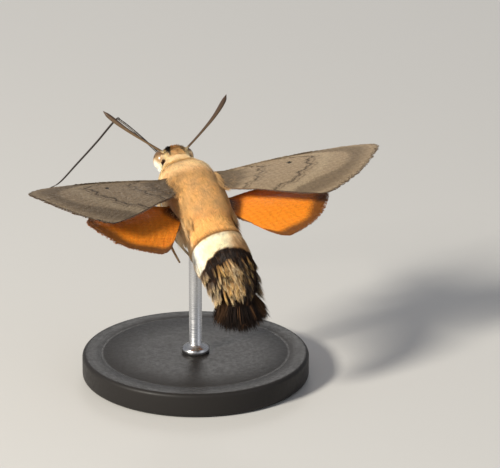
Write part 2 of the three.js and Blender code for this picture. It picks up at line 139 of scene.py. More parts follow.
def to_world(p):
    c, s = math.cos(PITCH), math.sin(PITCH)
    x, y, z = np.moveaxis(p, -1, 0)
    return vectors(x, y * c - z * s, y * s + z * c + FLIGHT_HEIGHT) * MM


def new_object(name, data):
    made = bpy.data.objects.new(name, data)
    bpy.context.scene.collection.objects.link(made)
    return made


def mesh_object(name, points, faces, material, colour=None, uv=None, body=True, smooth_faces=True):
    """A piece from points in millimetres and triangles or quads; colour is per point, uv per corner."""
    points = to_world(points) if body else points * MM
    faces = np.asarray(faces, np.int32)
    mesh = bpy.data.meshes.new(name)
    mesh.vertices.add(len(points))
    mesh.vertices.foreach_set("co", points.astype(np.float32).ravel())
    mesh.loops.add(faces.size)
    mesh.loops.foreach_set("vertex_index", faces.ravel())
    mesh.polygons.add(len(faces))
    mesh.polygons.foreach_set("loop_start", np.arange(0, faces.size, faces.shape[1], dtype=np.int32))
    mesh.polygons.foreach_set("use_smooth", np.full(len(faces), smooth_faces))
    mesh.update(calc_edges=True)
    if colour is not None:
        rgba = np.ones((len(points), 4), np.float32)
        rgba[:, :3] = colour
        mesh.attributes.new("Col", "FLOAT_COLOR", "POINT").data.foreach_set("color", rgba.ravel())
    if uv is not None:
        mesh.uv_layers.new(name="OFBake").data.foreach_set("uv", uv.astype(np.float32).ravel())
    mesh.materials.append(material)
    made = new_object(name, mesh)
    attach(made, "root")
    return made


def grid_faces(rows, across, closed=False):
    i = np.arange(rows - 1)[:, None] * across
    j = np.arange(across if closed else across - 1)
    k = (j + 1) % across
    return vectors(i + j, i + k, i + across + k, i + across + j).reshape(-1, 4)


def closed_tube(rows, across):
    """Triangles of a tube of points, closed by two points more, the first end's and the last end's."""
    quads = grid_faces(rows, across, closed=True)
    j = np.arange(across)
    k, last, count = (j + 1) % across, (rows - 1) * across, rows * across
    caps = vectors(count, k, j), vectors(count + 1, last + j, last + k)
    return np.vstack([quads[:, [0, 1, 2]], quads[:, [0, 2, 3]], *caps])


# Materials

def set_inputs(node, values):
    for key, value in values.items():
        node.inputs[key].default_value = value


def new_material(name, roughness, specular, more=None):
    material = bpy.data.materials.new(name)
    material.use_nodes = True
    tree = material.node_tree
    shader = tree.nodes["Principled BSDF"]
    set_inputs(shader, {"Roughness": roughness, "Specular IOR Level": specular, **(more or {})})
    return material, tree, shader


def texture(tree, kind, settings, stretch=None):
    """A texture in the object's own coordinates, stretched if asked."""
    where = tree.nodes.new("ShaderNodeTexCoord").outputs["Object"]
    if stretch:
        mapping = tree.nodes.new("ShaderNodeMapping")
        set_inputs(mapping, {"Scale": stretch})
        tree.links.new(where, mapping.inputs["Vector"])
        where = mapping.outputs["Vector"]
    made = tree.nodes.new(kind)
    set_inputs(made, settings)
    tree.links.new(where, made.inputs["Vector"])
    return made.outputs


def noise(tree, scale, detail=3.0, stretch=None):
    settings = {"Scale": scale, "Detail": detail, "Roughness": 0.6}
    return texture(tree, "ShaderNodeTexNoise", settings, stretch)["Fac"]


def ranged(tree, value, low, high, edges=(0.3, 0.7)):
    """A number that goes from low to high while value passes from one edge to the other."""
    made = tree.nodes.new("ShaderNodeMapRange")
    set_inputs(made, {"From Min": edges[0], "From Max": edges[1], "To Min": low, "To Max": high})
    tree.links.new(value, made.inputs["Value"])
    return made.outputs["Result"]


def paint(tree, shader, shade, low, high):
    """The mesh's own Col values as base colour, made darker or lighter by shade, from low to high."""
    colour = tree.nodes.new("ShaderNodeAttribute")
    colour.attribute_name = "Col"
    times = tree.nodes.new("ShaderNodeVectorMath")
    times.operation = "SCALE"
    tree.links.new(colour.outputs["Color"], times.inputs[0])
    tree.links.new(ranged(tree, shade, low, high), times.inputs["Scale"])
    tree.links.new(times.outputs["Vector"], shader.inputs["Base Color"])


def bump(tree, shader, height, strength, distance):
    made = tree.nodes.new("ShaderNodeBump")
    set_inputs(made, {"Strength": strength, "Distance": distance})
    tree.links.new(height, made.inputs["Height"])
    tree.links.new(made.outputs["Normal"], shader.inputs["Normal"])


def coloured(name, roughness, specular, grain, low, high, sheen=0.0, relief=None):
    """A material coloured by the mesh, finely uneven in shade; relief is (scale, strength, depth)."""
    more = {"Sheen Weight": sheen, "Sheen Roughness": 0.4} if sheen else None
    material, tree, shader = new_material(name, roughness, specular, more)
    paint(tree, shader, noise(tree, grain), low, high)
    if relief:
        scale, strength, depth = relief
        bump(tree, shader, noise(tree, scale), strength, depth)
    return material


skin_look = coloured("moth_skin", 0.8, 0.2, 2500, 0.7, 1.1, relief=(9000, 0.6, 0.0001))
fur_look = coloured("moth_fur", 0.55, 0.3, 1800, 0.86, 1.14, sheen=0.15)
dark_look = coloured("moth_dark_fur", 0.7, 0.1, 1800, 0.86, 1.14)
scale_look = coloured("moth_wing_scales", 0.6, 0.3, 3000, 0.9, 1.1)
wing_look = coloured("moth_wing_membrane", 0.55, 0.3, 2600, 0.85, 1.12, relief=(12000, 0.5, 0.00004))
leg_look = coloured("moth_leg_scales", 0.6, 0.3, 5000, 0.85, 1.12, relief=(14000, 0.5, 0.00003))
antenna_look = coloured("moth_antenna", 0.5, 0.4, 6000, 0.85, 1.1, relief=(15000, 0.4, 0.00002))
proboscis_look = coloured("moth_proboscis", 0.3, 0.5, 4000, 0.85, 1.1, relief=(16000, 0.3, 0.00001))


# The body's shape: half width, height above and depth below the middle line, as shares of the part's width

thorax_shape = smooth([
    [0, 0.3, 0.2, 0.42], [0.1, 0.4, 0.31, 0.45], [0.3, 0.475, 0.4, 0.48],
    [0.55, 0.5, 0.45, 0.49], [0.8, 0.48, 0.45, 0.46], [1, 0.42, 0.42, 0.41],
])
abdomen_shape = smooth([
    [0, 0.47, 0.47, 0.47], [0.3, 0.5, 0.47, 0.48], [0.6, 0.49, 0.43, 0.44], [0.85, 0.42, 0.34, 0.36],
    [1, 0.33, 0.25, 0.27],
])
head_shape = smooth([
    [0, 0.44, 0.4, 0.44], [0.25, 0.5, 0.46, 0.5], [0.55, 0.47, 0.42, 0.48], [0.8, 0.34, 0.3, 0.36],
    [1, 0.16, 0.14, 0.16],
])

HEAD_Y = np.array([0, math.cos(HEAD_BOW), -math.sin(HEAD_BOW)])
HEAD_Z = np.array([0, math.sin(HEAD_BOW), math.cos(HEAD_BOW)])
HEAD_AT = np.array([0, THORAX_FRONT + GAP, -0.55])


def in_head(x, y, z):
    return HEAD_AT + X * x + HEAD_Y * y + HEAD_Z * z


def from_head(p):
    """Places in the head's frame: sideways, forward and up."""
    return ((p - HEAD_AT) @ np.stack([X, HEAD_Y, HEAD_Z], 1)).T


def spine_way(d):
    """The abdomen's direction, d behind its front end: it drops towards the tail and veers in the middle."""
    share = np.clip(d / ABDOMEN_LENGTH, 0, 1)
    drop, swing = ABDOMEN_DROP * share ** 1.6, ABDOMEN_SWING * np.sin(np.pi * share)
    return vectors(np.sin(swing) * np.cos(drop), -np.cos(swing) * np.cos(drop), -np.sin(drop))


SPINE_D = np.linspace(0, 16, 801)
SPINE_STEPS = spine_way((SPINE_D[1:] + SPINE_D[:-1]) / 2) * SPINE_D[1]
SPINE_AT = Y * WAIST + np.vstack([0 * X, np.cumsum(SPINE_STEPS, 0)])


def spine(d):
    """Centre, direction, right and up of the abdomen, d behind its front end."""
    at = vectors(*(np.interp(d, SPINE_D, SPINE_AT[:, k]) for k in range(3)))
    way = spine_way(d)
    right = unit(vectors(-way[..., 1], way[..., 0], 0))
    return at, way, right, np.cross(way, right)


# How deep the skin lies under the solids, by share of the length or, on the abdomen, by distance
HEAD_INSETS = (
    (1.0, 0.45), (0.96, 0.3), (0.86, 0.24), (0.72, 0.24), (0.55, 0.26), (0.35, 0.3), (0.15, 0.42),
    (0.0, 0.62),
)
THORAX_INSETS = ((0.05, 0.45), *((share, 0.4) for share in (0.13, 0.25, 0.4, 0.55, 0.7, 0.85, 0.98)))
ABDOMEN_INSETS = (
    (0.6, 0.42), (1.8, 0.38), (3.2, 0.36), (4.6, 0.36), (6.0, 0.36), (7.3, 0.36), (8.5, 0.34), (9.3, 0.3),
)
# The skin's end inside the tail fan: distance, then half width, height and depth
TAIL_SIZES = (
    (10.2, (1.9, 1.1, 1.15)), (11.2, (1.4, 0.6, 0.6)), (12.0, (0.5, 0.2, 0.2)), (12.2, (0.05, 0.05, 0.05)),
)
ROUNDNESS = 0.92
SKIN_ROWS, SKIN_COLUMNS = 220, 120


def body_stations():
    """Rows of [length coordinate, centre, right, up, half width, height, depth], from face to tail."""
    rows = []

    def add(w, at, right, up, size, inset=0.0):
        rows.append(np.concatenate([[w], at, right, up, np.maximum(np.array(size) - inset, 0.03)]))

    for t, inset in HEAD_INSETS:
        ahead = t * HEAD_LENGTH
        add(HEAD_AT[1] + ahead, in_head(0, ahead, 0), X, HEAD_Z, head_shape(t) * HEAD_WIDTH, inset)
    for t, inset in THORAX_INSETS:
        y = THORAX_FRONT - t * THORAX_LENGTH
        add(y, Y * y, X, Z, thorax_shape(t) * THORAX_WIDTH, inset)
    for d, inset in ABDOMEN_INSETS:
        at, _, right, up = spine(d)
        add(WAIST - d, at, right, up, abdomen_shape(d / ABDOMEN_LENGTH) * ABDOMEN_WIDTH, inset)
    for d, size in TAIL_SIZES:
        at, _, right, up = spine(d)
        add(WAIST - d, at, right, up, size)
    return np.array(rows)


def ring_points(at, right, up, sizes, angle):
    """Points of the body's sections; at, right and up (n, 3), sizes (n, 3), angle (m,) gives (n, m, 3)."""
    def bow(v):
        return np.sign(v) * np.abs(v) ** ROUNDNESS

    c, s = np.cos(angle), np.sin(angle)
    tall = np.where(s > 0, sizes[:, 1:2], sizes[:, 2:3])
    return at[:, None] + right[:, None] * col(sizes[:, :1] * bow(c)) + up[:, None] * col(tall * bow(s))


class Surface:
    """The skin's grid of points, with its normals, its lie towards the tail and an unwrap."""

    def __init__(self, rows, columns):
        stations = body_stations()
        last = len(stations) - 1
        values = smooth(np.column_stack([np.arange(last + 1.0), stations]))(np.linspace(0, last, rows))
        self.angle = np.linspace(0, 2 * np.pi, columns, endpoint=False)
        right, up, sizes = unit(values[:, 4:7]), unit(values[:, 7:10]), np.maximum(values[:, 10:13], 0.02)
        self.points = ring_points(values[:, 1:4], right, up, sizes, self.angle)
        lie = np.gradient(self.points, axis=0)
        across = (np.roll(self.points, -1, 1) - np.roll(self.points, 1, 1)) / 2
        normal = np.cross(across, lie)
        self.cell = np.linalg.norm(normal, axis=-1)[:-1]
        far = lengths(self.points.mean(1))
        self.w, self.v = (np.repeat(value[:, None], columns, 1) for value in (values[:, 0], far / far[-1]))
        self.values = np.dstack([self.points, unit(normal), unit(lie), self.w, self.v])

    def scatter(self, count, seed, where):
        """Roots strewn evenly where asked: points, normals, lie, length coordinates, angles and unwrap."""
        rng = np.random.default_rng(seed)
        total = np.cumsum((self.cell * where[:-1]).ravel())
        pick = np.searchsorted(total, (np.arange(count) + rng.random(count)) / count * total[-1])
        rows, columns = self.cell.shape
        i, j = np.minimum(pick // columns, rows - 1), pick % columns
        a, b = rng.random((2, count, 1))
        near, far = (self.values[i, k] * (1 - a) + self.values[i + 1, k] * a for k in (j, (j + 1) % columns))
        values, turn = near * (1 - b) + far * b, (j + b[:, 0]) / columns
        return {
            "p": values[:, :3], "n": unit(values[:, 3:6]), "lie": unit(values[:, 6:9]), "w": values[:, 9],
            "angle": 2 * np.pi * turn, "uv": vectors(turn, values[:, 10]), "rng": rng,
        }


surface = Surface(SKIN_ROWS, SKIN_COLUMNS)


# Markings, shared by the skin and the coat

CREAM, WHITE = rgb("f3e6c3"), rgb("f8f2e2")
TAN, GOLD, COLLAR = rgb("cda26c"), rgb("d9a866"), rgb("f2d09c")
ORANGE_TAN, OLIVE, BROWN, DARK = rgb("e3a45a"), rgb("a9824f"), rgb("5e4029"), rgb("1a100a")
CROWN, CHEEK, BLACK, PUPIL = rgb("dbb47a"), rgb("eadcbf"), rgb("160d08"), rgb("3a2013")
# Along the abdomen: where the cream band starts, where a thin painted shadow line lies just ahead of it, and
# the belly's ring spacing
BAND_START, BAND_SHADOW_LINE, BELLY_RING = 2.2, 2.05, 1.33
NECK = (5.4, 6.0)


def band_end(angle):
    """Where the abdomen's cream band ends along it: further back on the flanks."""
    up, side = np.sin(angle), np.cos(angle)
    return 4.05 + 0.35 * step(-0.2, 0.4, side) + 0.35 * step(0.95, 0.75, up) + 0.45 * step(0.62, 0.25, up)


def waves(p):
    """Two uneven patterns between -1 and 1 over the back, a slow one and a fine one."""
    x, y = p[:, 0], p[:, 1]
    slow = 0.5 * np.sin(1.9 * x + 1.1 * y) + 0.5 * np.sin(2.7 * x - 2.1 * y + 1.0)
    return slow, 0.5 * np.sin(7.3 * x + 2.9 * y + 2 * slow) + 0.5 * np.sin(5.1 * x - 6.3 * y + 0.4)


def thorax_colour(p, w, up, slow, fine):
    """Golden tan, mottled, with an olive seam along each side, a band of painted shade across, a collar and a
    white belly.
    """
    seam = np.abs(p[:, 0]) - 2.1 - 0.16 * (2.5 - p[:, 1])
    return layered(
        TAN, (GOLD, 0.5 + 0.5 * slow),
        (OLIVE, 0.14 * step(0.2, 1.0, 0.4 * fine - slow) * step(-0.2, 0.3, up)),
        (OLIVE, 0.45 * bell(seam, 0, 0.4) * step(-5, -3, w) * step(3.4, 2.4, w) * step(0, 0.4, up)),
        # A band of painted shade across the back, behind the collar, slanting further back on the right
        (OLIVE, 0.5 * bell(w + 0.25 * p[:, 0], 1.5, 0.6) * step(0.2, 0.7, up)),
        (COLLAR, step(1.9, 3.6, w + 0.25 * slow)),
        (CREAM, 0.45 * step(0.45, 0.0, up) * step(-6, -3, w)),
        (WHITE, 0.85 * step(-0.25, -0.7, up) * step(-6.5, -5, w)),
    )


def with_abdomen(colour, d, angle, slow, fine):
    """Tan base, brown painted shadow line, cream band with painted shade on its right, dark rear and a ringed
    belly, over the thorax's colour.
    """
    up, side, past = np.sin(angle), np.cos(angle), d - band_end(angle)
    flank = step(0.45, -0.1, up + 0.1 * fine)
    base = layered(ORANGE_TAN, (GOLD, 0.35 + 0.3 * slow), (mix(TAN, CREAM, 0.35), flank))
    rear = mix(DARK, BROWN, 0.35 * step(0.2, 1.0, fine) + 0.3 * step(0.5, 0.95, side) * step(9, 4, d))
    # Painted shade on the right side: the cream band turns tan there, and a darker brown lies over its upper
    # right.
    band_painted_shade = step(-0.02, 0.3, side) * step(0.45, 0.75, up)
    band = layered(CREAM, (WHITE, step(0.6, 0.2, up)), (TAN, 0.75 * band_painted_shade))
    right_side_painted_shade = step(2.6, 4.2, d + 0.4 * fine) * step(-0.2, 0.35, side) * step(0.35, 0.7, up)
    pale_ring = bell(d % BELLY_RING / BELLY_RING, 0.9, 0.16) * step(-0.98, -0.7, up)
    belly = layered(rgb("b39873"), (BROWN, step(3, 9, d + 0.4 * slow)), (CREAM, 0.4 * pale_ring))
    low = up + 0.12 * fine
    return layered(
        colour, (base, step(-2.0, 0.4, d)),
        # Thin brown line of painted shadow across the top, just ahead of the cream band
        (BROWN, 0.8 * bell(d, BAND_SHADOW_LINE, 0.2) * step(-0.1, 0.3, up)),
        (rear, step(-0.05, 0.15, past)),
        (band, step(BAND_START, BAND_START + 0.12, d) * step(0.1, -0.05, past) * step(-0.6, -0.15, low)),
        # Darker brown painted shade over the band's upper right
        (rgb("a06f3e"), 0.7 * right_side_painted_shade * step(0.3, 0.0, past)),
        (belly, step(-0.15, -0.8, low) * step(-2.5, 1.5, d)),
    )


def feeler_root_shade(out, ahead, high):
    """Share of painted shade, in black, between the crown and the root of each feeler, at a place of the
    head's frame.
    """
    beyond = ahead - 1.0
    inner, outer = out - 0.93 + 0.34 * beyond, out - 1.04 - 0.14 * beyond
    between = step(-0.06, 0.06, inner) * step(0.07, -0.07, outer)
    return between * step(0.0, 0.12, beyond) * step(-0.1, 0.3, high)


def head_colour(p, slow, fine):
    """Brown crown with a pale brow and a black wedge of painted shade beside it, and pale cheeks."""
    side, ahead, high = from_head(p)
    out = np.abs(side)
    return layered(
        CROWN, (rgb("9a7048"), 0.3 * bell(out, 0.0, 0.3) + 0.15 * step(0, 1, fine)),
        (COLLAR, step(1.3, 0.1, ahead + 0.15 * slow)),
        (CREAM, 0.85 * bell(out, 1.4, 0.25) * step(0.2, 0.7, high) * step(2.3, 1.9, ahead)),
        # The black wedge is painted shade in the hollow at each feeler's root, painted darker on the left
        # than on the right.
        (BLACK, (0.97 - 0.3 * (side > 0)) * feeler_root_shade(out, ahead + 0.1 * fine, high)),
        (CHEEK, step(0.1, -0.3, high)),
        (WHITE, step(-0.5, -1.0, high)),
    )


def body_colour(p, w, angle):
    """Colour of skin and coat at points of the moth; w runs along the body, angle round it from its right."""
    slow, fine = waves(p)
    colour = thorax_colour(p, w, np.sin(angle), slow, fine)
    colour = with_abdomen(colour, WAIST - w + 0.08 * fine, angle, slow, fine)
    return mix(colour, head_colour(p, slow, fine), step(*NECK, w))


def near_pupil(p):
    """Share of the dark spot behind each eye at points of the moth: an oval along the side of the head."""
    side, ahead, high = from_head(p)
    out, ahead, high = np.abs(side) - 1.76, ahead - 0.7, high - 0.24
    along, off = 0.75 * ahead + 0.66 * high, 0.75 * high - 0.66 * ahead
    return step(1.15, 0.85, np.sqrt((out / 0.3) ** 2 + (along / 0.62) ** 2 + (off / 0.6) ** 2))


# Tufts

SPIKE = {"rings": (0.0,), "widths": ((0, 1.0), (1, 1.0)), "bend": 0.0}


def strewn(name, corners, shades, uvs, pattern, material, parts=1):
    """Many small closed bodies with the same faces, joined; corners, shades and uvs list a row per corner."""
    points, shades, uvs = (np.stack(rows, 1) for rows in (corners, shades, uvs))
    n, each = points.shape[:2]
    made = []
    for part in range(parts):
        pick = slice(part * n // parts, (part + 1) * n // parts)
        p, s, u = points[pick], shades[pick], uvs[pick]
        faces = (np.array(pattern)[None] + np.arange(len(p))[:, None, None] * each).reshape(-1, 3)
        label = name if parts == 1 else f"{name}_{part + 1}"
        made.append(mesh_object(label, p.reshape(-1, 3), faces, material, s.reshape(-1, 3),
                                u.reshape(-1, 2)[faces.ravel()], smooth_faces=False))
    return made


def tufts(name, root, way, up, length, width, colour, tip, uv, material=fur_look, slot="body_fur",
          rings=(0.0, 0.45), widths=((0, 0.75), (0.35, 1.0), (0.75, 0.6)), bend=-0.16, thick=0.45, dark=0.35,
          tip_at=2.0, parts=1):
    """Thin tapered hairs with a ridged back, from root along way; tip is a colour, or how much brighter."""
    if np.isscalar(tip):
        tip = np.clip(tip * colour, 0, 1)
    side = unit(np.cross(way, up))
    up = np.cross(side, way)
    points, shades, uvs = [], [], []
    for t, w in zip(rings, np.interp(rings, *zip(*widths))):
        centre = root + way * col(length * t) + up * col(bend * length * t * t)
        half = col(width * w / 2)
        shade = (colour + (tip - colour) * t ** tip_at) * (1 - dark * (1 - t) ** 2)
        for a, b in ((-1, 0), (0, thick * 2), (1, 0)):
            points.append(centre + side * a * half + up * b * half)
            shades.append(shade)
            uvs.append(uv + np.array([a * 0.0012, (t - 0.5) * 0.003]))
    points.append(root + way * col(length) + up * col(bend * length))
    shades.append(tip + 0 * colour)
    uvs.append(uv + np.array([0, 0.0015]))
    last, end = 3 * (len(rings) - 1), 3 * len(rings)
    pattern = [(0, 2, 1)]
    for a in range(last):
        b = a - a % 3 + (a + 1) % 3
        pattern += [(a, b, b + 3), (a, b + 3, a + 3)]
    pattern += [(last + j, last + (j + 1) % 3, end) for j in range(3)]
    return strewn(name, points, shades, uvs, pattern, material, parts)


def plates(name, root, way, up, length, width, colour, uv):
    """Flat scales, narrow at the root and broad at the end, with a faint keel."""
    side = unit(np.cross(way, up))
    up = np.cross(side, way)
    end = root + way * col(0.88 * length)
    half = side * col(width / 2)
    points = [root, end - half, end + half, root + way * col(length) + up * col(0.14 * width)]
    shades = [0.85 * colour, colour, colour, np.clip(1.08 * colour, 0, 1)]
    uvs = [uv + np.array(v) for v in ((0, -0.0015), (-0.0012, 0.001), (0.0012, 0.001), (0, 0.0015))]
    strewn(name, points, shades, uvs, [(0, 1, 2), (0, 3, 1), (0, 2, 3), (1, 3, 2)], scale_look)


def tinted(rng, colour, spread=0.12):
    """The colours, each a little darker or lighter."""
    return np.clip(colour * (1 + spread * rng.standard_normal((len(colour), 1))), 0, 1)


def lay(at, lift, drift, jitter):
    """Directions that leave the surface by about lift and follow its lie, drifting into soft locks."""
    rng, n = at["rng"], len(at["p"])
    side = unit(np.cross(at["n"], at["lie"]))
    slow, fine = waves(at["p"] * 1.4)
    lift = np.broadcast_to(lift, n) * (1 + 0.2 * fine) * rng.uniform(0.75, 1.25, n)
    swerve = drift * (0.6 * slow + 0.4 * fine) + jitter * rng.standard_normal(n)
    return unit(at["lie"] + at["n"] * col(lift) + side * col(swerve))


def coat(name, at, length, lift, width, drift=0.14, jitter=0.05, spread=0.07, **more):
    """Fur rooted at the scattered places; it ends at the band's edges and takes the colour where it shows."""
    rng, n = at["rng"], len(at["p"])
    way = lay(at, lift, drift, jitter)
    length = length * rng.uniform(0.75, 1.2, n)
    for edge in (np.full(n, BAND_START), band_end(at["angle"])):
        room = edge + rng.uniform(-0.05, 0.12, n) - (WAIST - at["w"])
        length = np.where((room > 0) & (room < length), np.maximum(room, 0.3), length)
    reach = length * rng.uniform(0.45, 0.75, n)
    shown = at["p"] + way * col(reach)
    colour = tinted(rng, body_colour(shown, at["w"] - reach, at["angle"]), spread)
    colour = mix(colour, PUPIL, near_pupil(shown))
    root = at["p"] - at["n"] * 0.04
    tufts(name, root, way, at["n"], length, rng.uniform(*width, n), colour, 1.2, at["uv"], **more)


# Skin and coat

FINE, BROAD = (0.045, 0.075), (0.08, 0.15)


def make_skin():
    rows, across = surface.w.shape
    points, w = surface.points.reshape(-1, 3), surface.w.ravel()
    colour = body_colour(points, w, np.tile(surface.angle, rows)) * 0.85
    points, colour = (np.vstack([v, v[:across].mean(0), v[-across:].mean(0)]) for v in (points, colour))
    faces = closed_tube(rows, across)
    turn = np.tile(np.arange(across) / across, rows)
    uv = np.vstack([vectors(turn, surface.v.ravel()), [0.5, 0], [0.5, 1]])[faces]
    uv[..., 0] += (uv[..., 0] < 0.25) & (uv[..., 0].max(1) > 0.75)[:, None]
    made = mesh_object("body_skin", points, faces, skin_look, colour, uv.reshape(-1, 2))
    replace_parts(made, "head", "thorax", "abdomen")


def thorax_coat(name, count, seed, longer, width, **more):
    """Sleek fur of the thorax and the abdomen's base, longer below, standing up into a collar at the head."""
    at = surface.scatter(count, seed, (surface.w < 5.5) & (surface.w > -10.2))
    under, collar = step(-0.1, -0.6, np.sin(at["angle"])), step(4.3, 5.3, at["w"])
    length = (1.15 + 0.4 * under) * longer * (1 - 0.45 * collar)
    coat(name, at, length, 0.08 + 0.1 * under + 0.1 * collar, width, dark=0.08, thick=0.25, **more)


def abdomen_coat():
    """Broader scales on the rear of the abdomen."""
    at = surface.scatter(11500, 2, surface.w <= -9.6)
    coat("abdomen_coat", at, 1.0, 0.2, BROAD, drift=0.2, jitter=0.1, spread=0.15, thick=0.3,
         material=dark_look)


def head_coat():
    """The shortest and finest hair, standing higher on the crown between the feelers."""
    at = surface.scatter(26000, 3, surface.w >= 5.6)
    _, ahead, high = from_head(at["p"])
    crest = bell(ahead, 2.4, 0.7) * step(0.5, 1.0, high)
    length = np.interp(at["w"], [5.4, 6.2, 8.0, 9.3], [1.2, 0.8, 0.5, 0.36]) + 0.35 * crest
    coat("head_coat", at, length, 0.24 + 0.4 * crest, FINE, jitter=0.1, dark=0.05, **SPIKE)


def nape_coat():
    """Longer hair from the back of the head into the collar, uneven on the back."""
    at = surface.scatter(9000, 4, (surface.w < 6.7) & (surface.w > 5.5))
    at["n"] = toward(X, Z, at["angle"])
    at["lie"] = -Y + 0 * at["n"]
    high = step(-0.8, 0.2, np.sin(at["angle"]))
    length = 1.25 + 0.55 * at["rng"].random(len(high)) * high
    coat("nape_coat", at, length, 0.85 * high + 0.25, FINE, bend=-0.34, dark=0.0, thick=0.25)


make_skin()
thorax_coat("thorax_coat", 78000, 11, 1.0, (0.05, 0.085), parts=3, **SPIKE)
thorax_coat("thorax_overcoat", 13000, 15, 1.3, FINE)
abdomen_coat()
head_coat()
nape_coat()


# Eyes

EYE_SIZE = np.array([0.92, 1.16, 1.26])
EYE_ROWS, EYE_COLUMNS = 60, 80
# Dark spots inside the eye: where they show, half width as an angle, and depth
EYE_SPOTS = (((0.9, 0.2, 0.4), 0.2, 0.85), ((0.8, 0.55, 0.2), 0.12, 0.4), ((0.85, 0.3, -0.3), 0.12, 0.35))


def make_eye_look():
    more = {"Coat Weight": 0.4, "Coat Roughness": 0.15}
    material, tree, shader = new_material("moth_eye", 0.25, 0.5, more)
    facets = texture(tree, "ShaderNodeTexVoronoi", {"Scale": 16000})["Distance"]
    paint(tree, shader, facets, 1.1, 0.7)
    bump(tree, shader, facets, 0.35, 0.00003)
    return material


def eye_colour(n):
    """Brown, darker above, pale below and behind, with dark spots; n points out, its X away from the head."""
    _, ahead, high = n.T
    colour = layered(
        rgb("b08c5c"), (rgb("6f5236"), step(0.1, 0.9, high + 0.12 * np.sin(9 * ahead) + 0.4 * ahead)),
        (rgb("5b4630"), 0.6 * step(0.1, 0.8, ahead) * step(-0.7, 0.0, high)),
        (WHITE, 0.85 * np.maximum(step(0.0, -0.6, high), step(0.25, -0.3, ahead) * step(0.5, 0.0, high))),
    )
    for place, half, depth in EYE_SPOTS:
        far = np.arccos(np.clip(n @ unit(np.array(place)), -1, 1))
        colour = mix(colour, BLACK, depth * step(half, half * 0.3, far))
    return colour


def eye_fringe(name, sign, centre, turn, rng, count=2600):
    """Scales from the rear rim over the back of the eye."""
    round_ = np.radians(rng.uniform(-115, 118, count))
    most = 10 + 42 * step(0.7, 1.2, round_) + 26 * step(-0.2, -0.9, round_)
    a = np.radians(4 + rng.random(count) * most)
    c, s = np.cos(round_), np.sin(round_)
    spot = vectors(np.sin(a) * c, -np.cos(a), np.sin(a) * s)
    ahead = vectors(np.cos(a) * c, np.sin(a), np.cos(a) * s) * EYE_SIZE
    out = unit(spot / EYE_SIZE) @ turn
    lift = col(rng.uniform(0.08, 0.3, count))
    way = unit(unit(ahead) @ turn + out * lift + 0.1 * rng.standard_normal((count, 3)))
    root, long = centre + (spot * EYE_SIZE) @ turn, rng.uniform(0.3, 0.48, count)
    shade = layered(
        CREAM, (rgb("c99a66"), 0.7 * bell(np.degrees(round_), 55, 38)), (WHITE, step(0.3, -0.3, round_)),
        (PUPIL, near_pupil(root + way * col(0.6 * long))),
    )
    shade = tinted(rng, shade)
    uv = vectors(0.25 + 0.12 * sign + 0.02 * c, 0.04 + 0.02 * s)
    tufts(f"{name}_fringe", root, way, out, long, rng.uniform(0.05, 0.08, count), shade, 1.15, uv,
          slot="pale_fur", dark=0.1, **SPIKE)


def eye_ruff(name, sign, centre, turn, rng, count=1500):
    """Pale ruff behind and below the eye, lying back along the side of the neck, clear of the dark spot."""
    round_ = np.radians(rng.uniform(-120, 60, count))
    a = np.radians(rng.uniform(0, 34, count))
    c, s = np.cos(round_), np.sin(round_)
    spot = vectors(np.sin(a) * c - 0.1, -np.cos(a) + 0.2, np.sin(a) * s)
    out = unit(X * sign * col(c) * 0.8 + HEAD_Z * col(s) + X * sign * 0.4)
    way = unit(-HEAD_Y + out * col(rng.uniform(0.2, 0.45, count)) + 0.09 * rng.standard_normal((count, 3)))
    root, long = centre + (spot * EYE_SIZE) @ turn, rng.uniform(0.7, 1.15, count)
    clear = sum(near_pupil(root + way * col(share * long)) for share in (0, 0.4, 0.8)) < 0.4
    shade = tinted(rng, mix(CREAM, WHITE, step(0.5, -0.5, round_)))
    uv = vectors(0.25 + 0.12 * sign + 0.02 * c, 0.07 + 0.02 * s)
    root, way, out, long, shade, uv = (v[clear] for v in (root, way, out, long, shade, uv))
    tufts(f"{name}_ruff", root, way, out, long, rng.uniform(0.05, 0.08, len(root)), shade, 1.1, uv,
          slot="pale_fur", dark=0.15)


def make_eye(side, sign, material):
    name = f"moth_eye_{side}"
    centre = in_head(0.42 * HEAD_WIDTH * sign, 0.52 * HEAD_LENGTH, -0.1)
    turn = np.stack([X * sign, HEAD_Y, HEAD_Z])
    a = np.linspace(0, np.pi, EYE_ROWS)[:, None]
    b = np.linspace(0, 2 * np.pi, EYE_COLUMNS, endpoint=False)
    n = vectors(np.cos(a), np.sin(a) * np.cos(b), np.sin(a) * np.sin(b)).reshape(-1, 3)
    points = centre + (n * EYE_SIZE) @ turn
    colour = mix(eye_colour(n), PUPIL, near_pupil(points) * (n[:, 1] < 0))
    quads = grid_faces(EYE_ROWS, EYE_COLUMNS, closed=True)
    made = mesh_object(name, points, quads if sign > 0 else quads[:, ::-1], material, colour)
    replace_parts(made, f"eye_{side}")
    rng = np.random.default_rng(30 + sign)
    eye_fringe(name, sign, centre, turn, rng)
    eye_ruff(name, sign, centre, turn, rng)


eye_look = make_eye_look()
for side, sign in SIDES:
    make_eye(side, sign, eye_look)


# Feelers, proboscis and palps

def path_points(points, count):
    """Evenly spaced points on a smooth curve through the given ones."""
    points = np.array(points, float)
    fine = smooth(np.column_stack([np.arange(len(points)), points]))(np.linspace(0, len(points) - 1, 600))
    far = lengths(fine)
    return vectors(*(np.interp(np.linspace(0, far[-1], count), far, fine[:, k]) for k in range(3)))


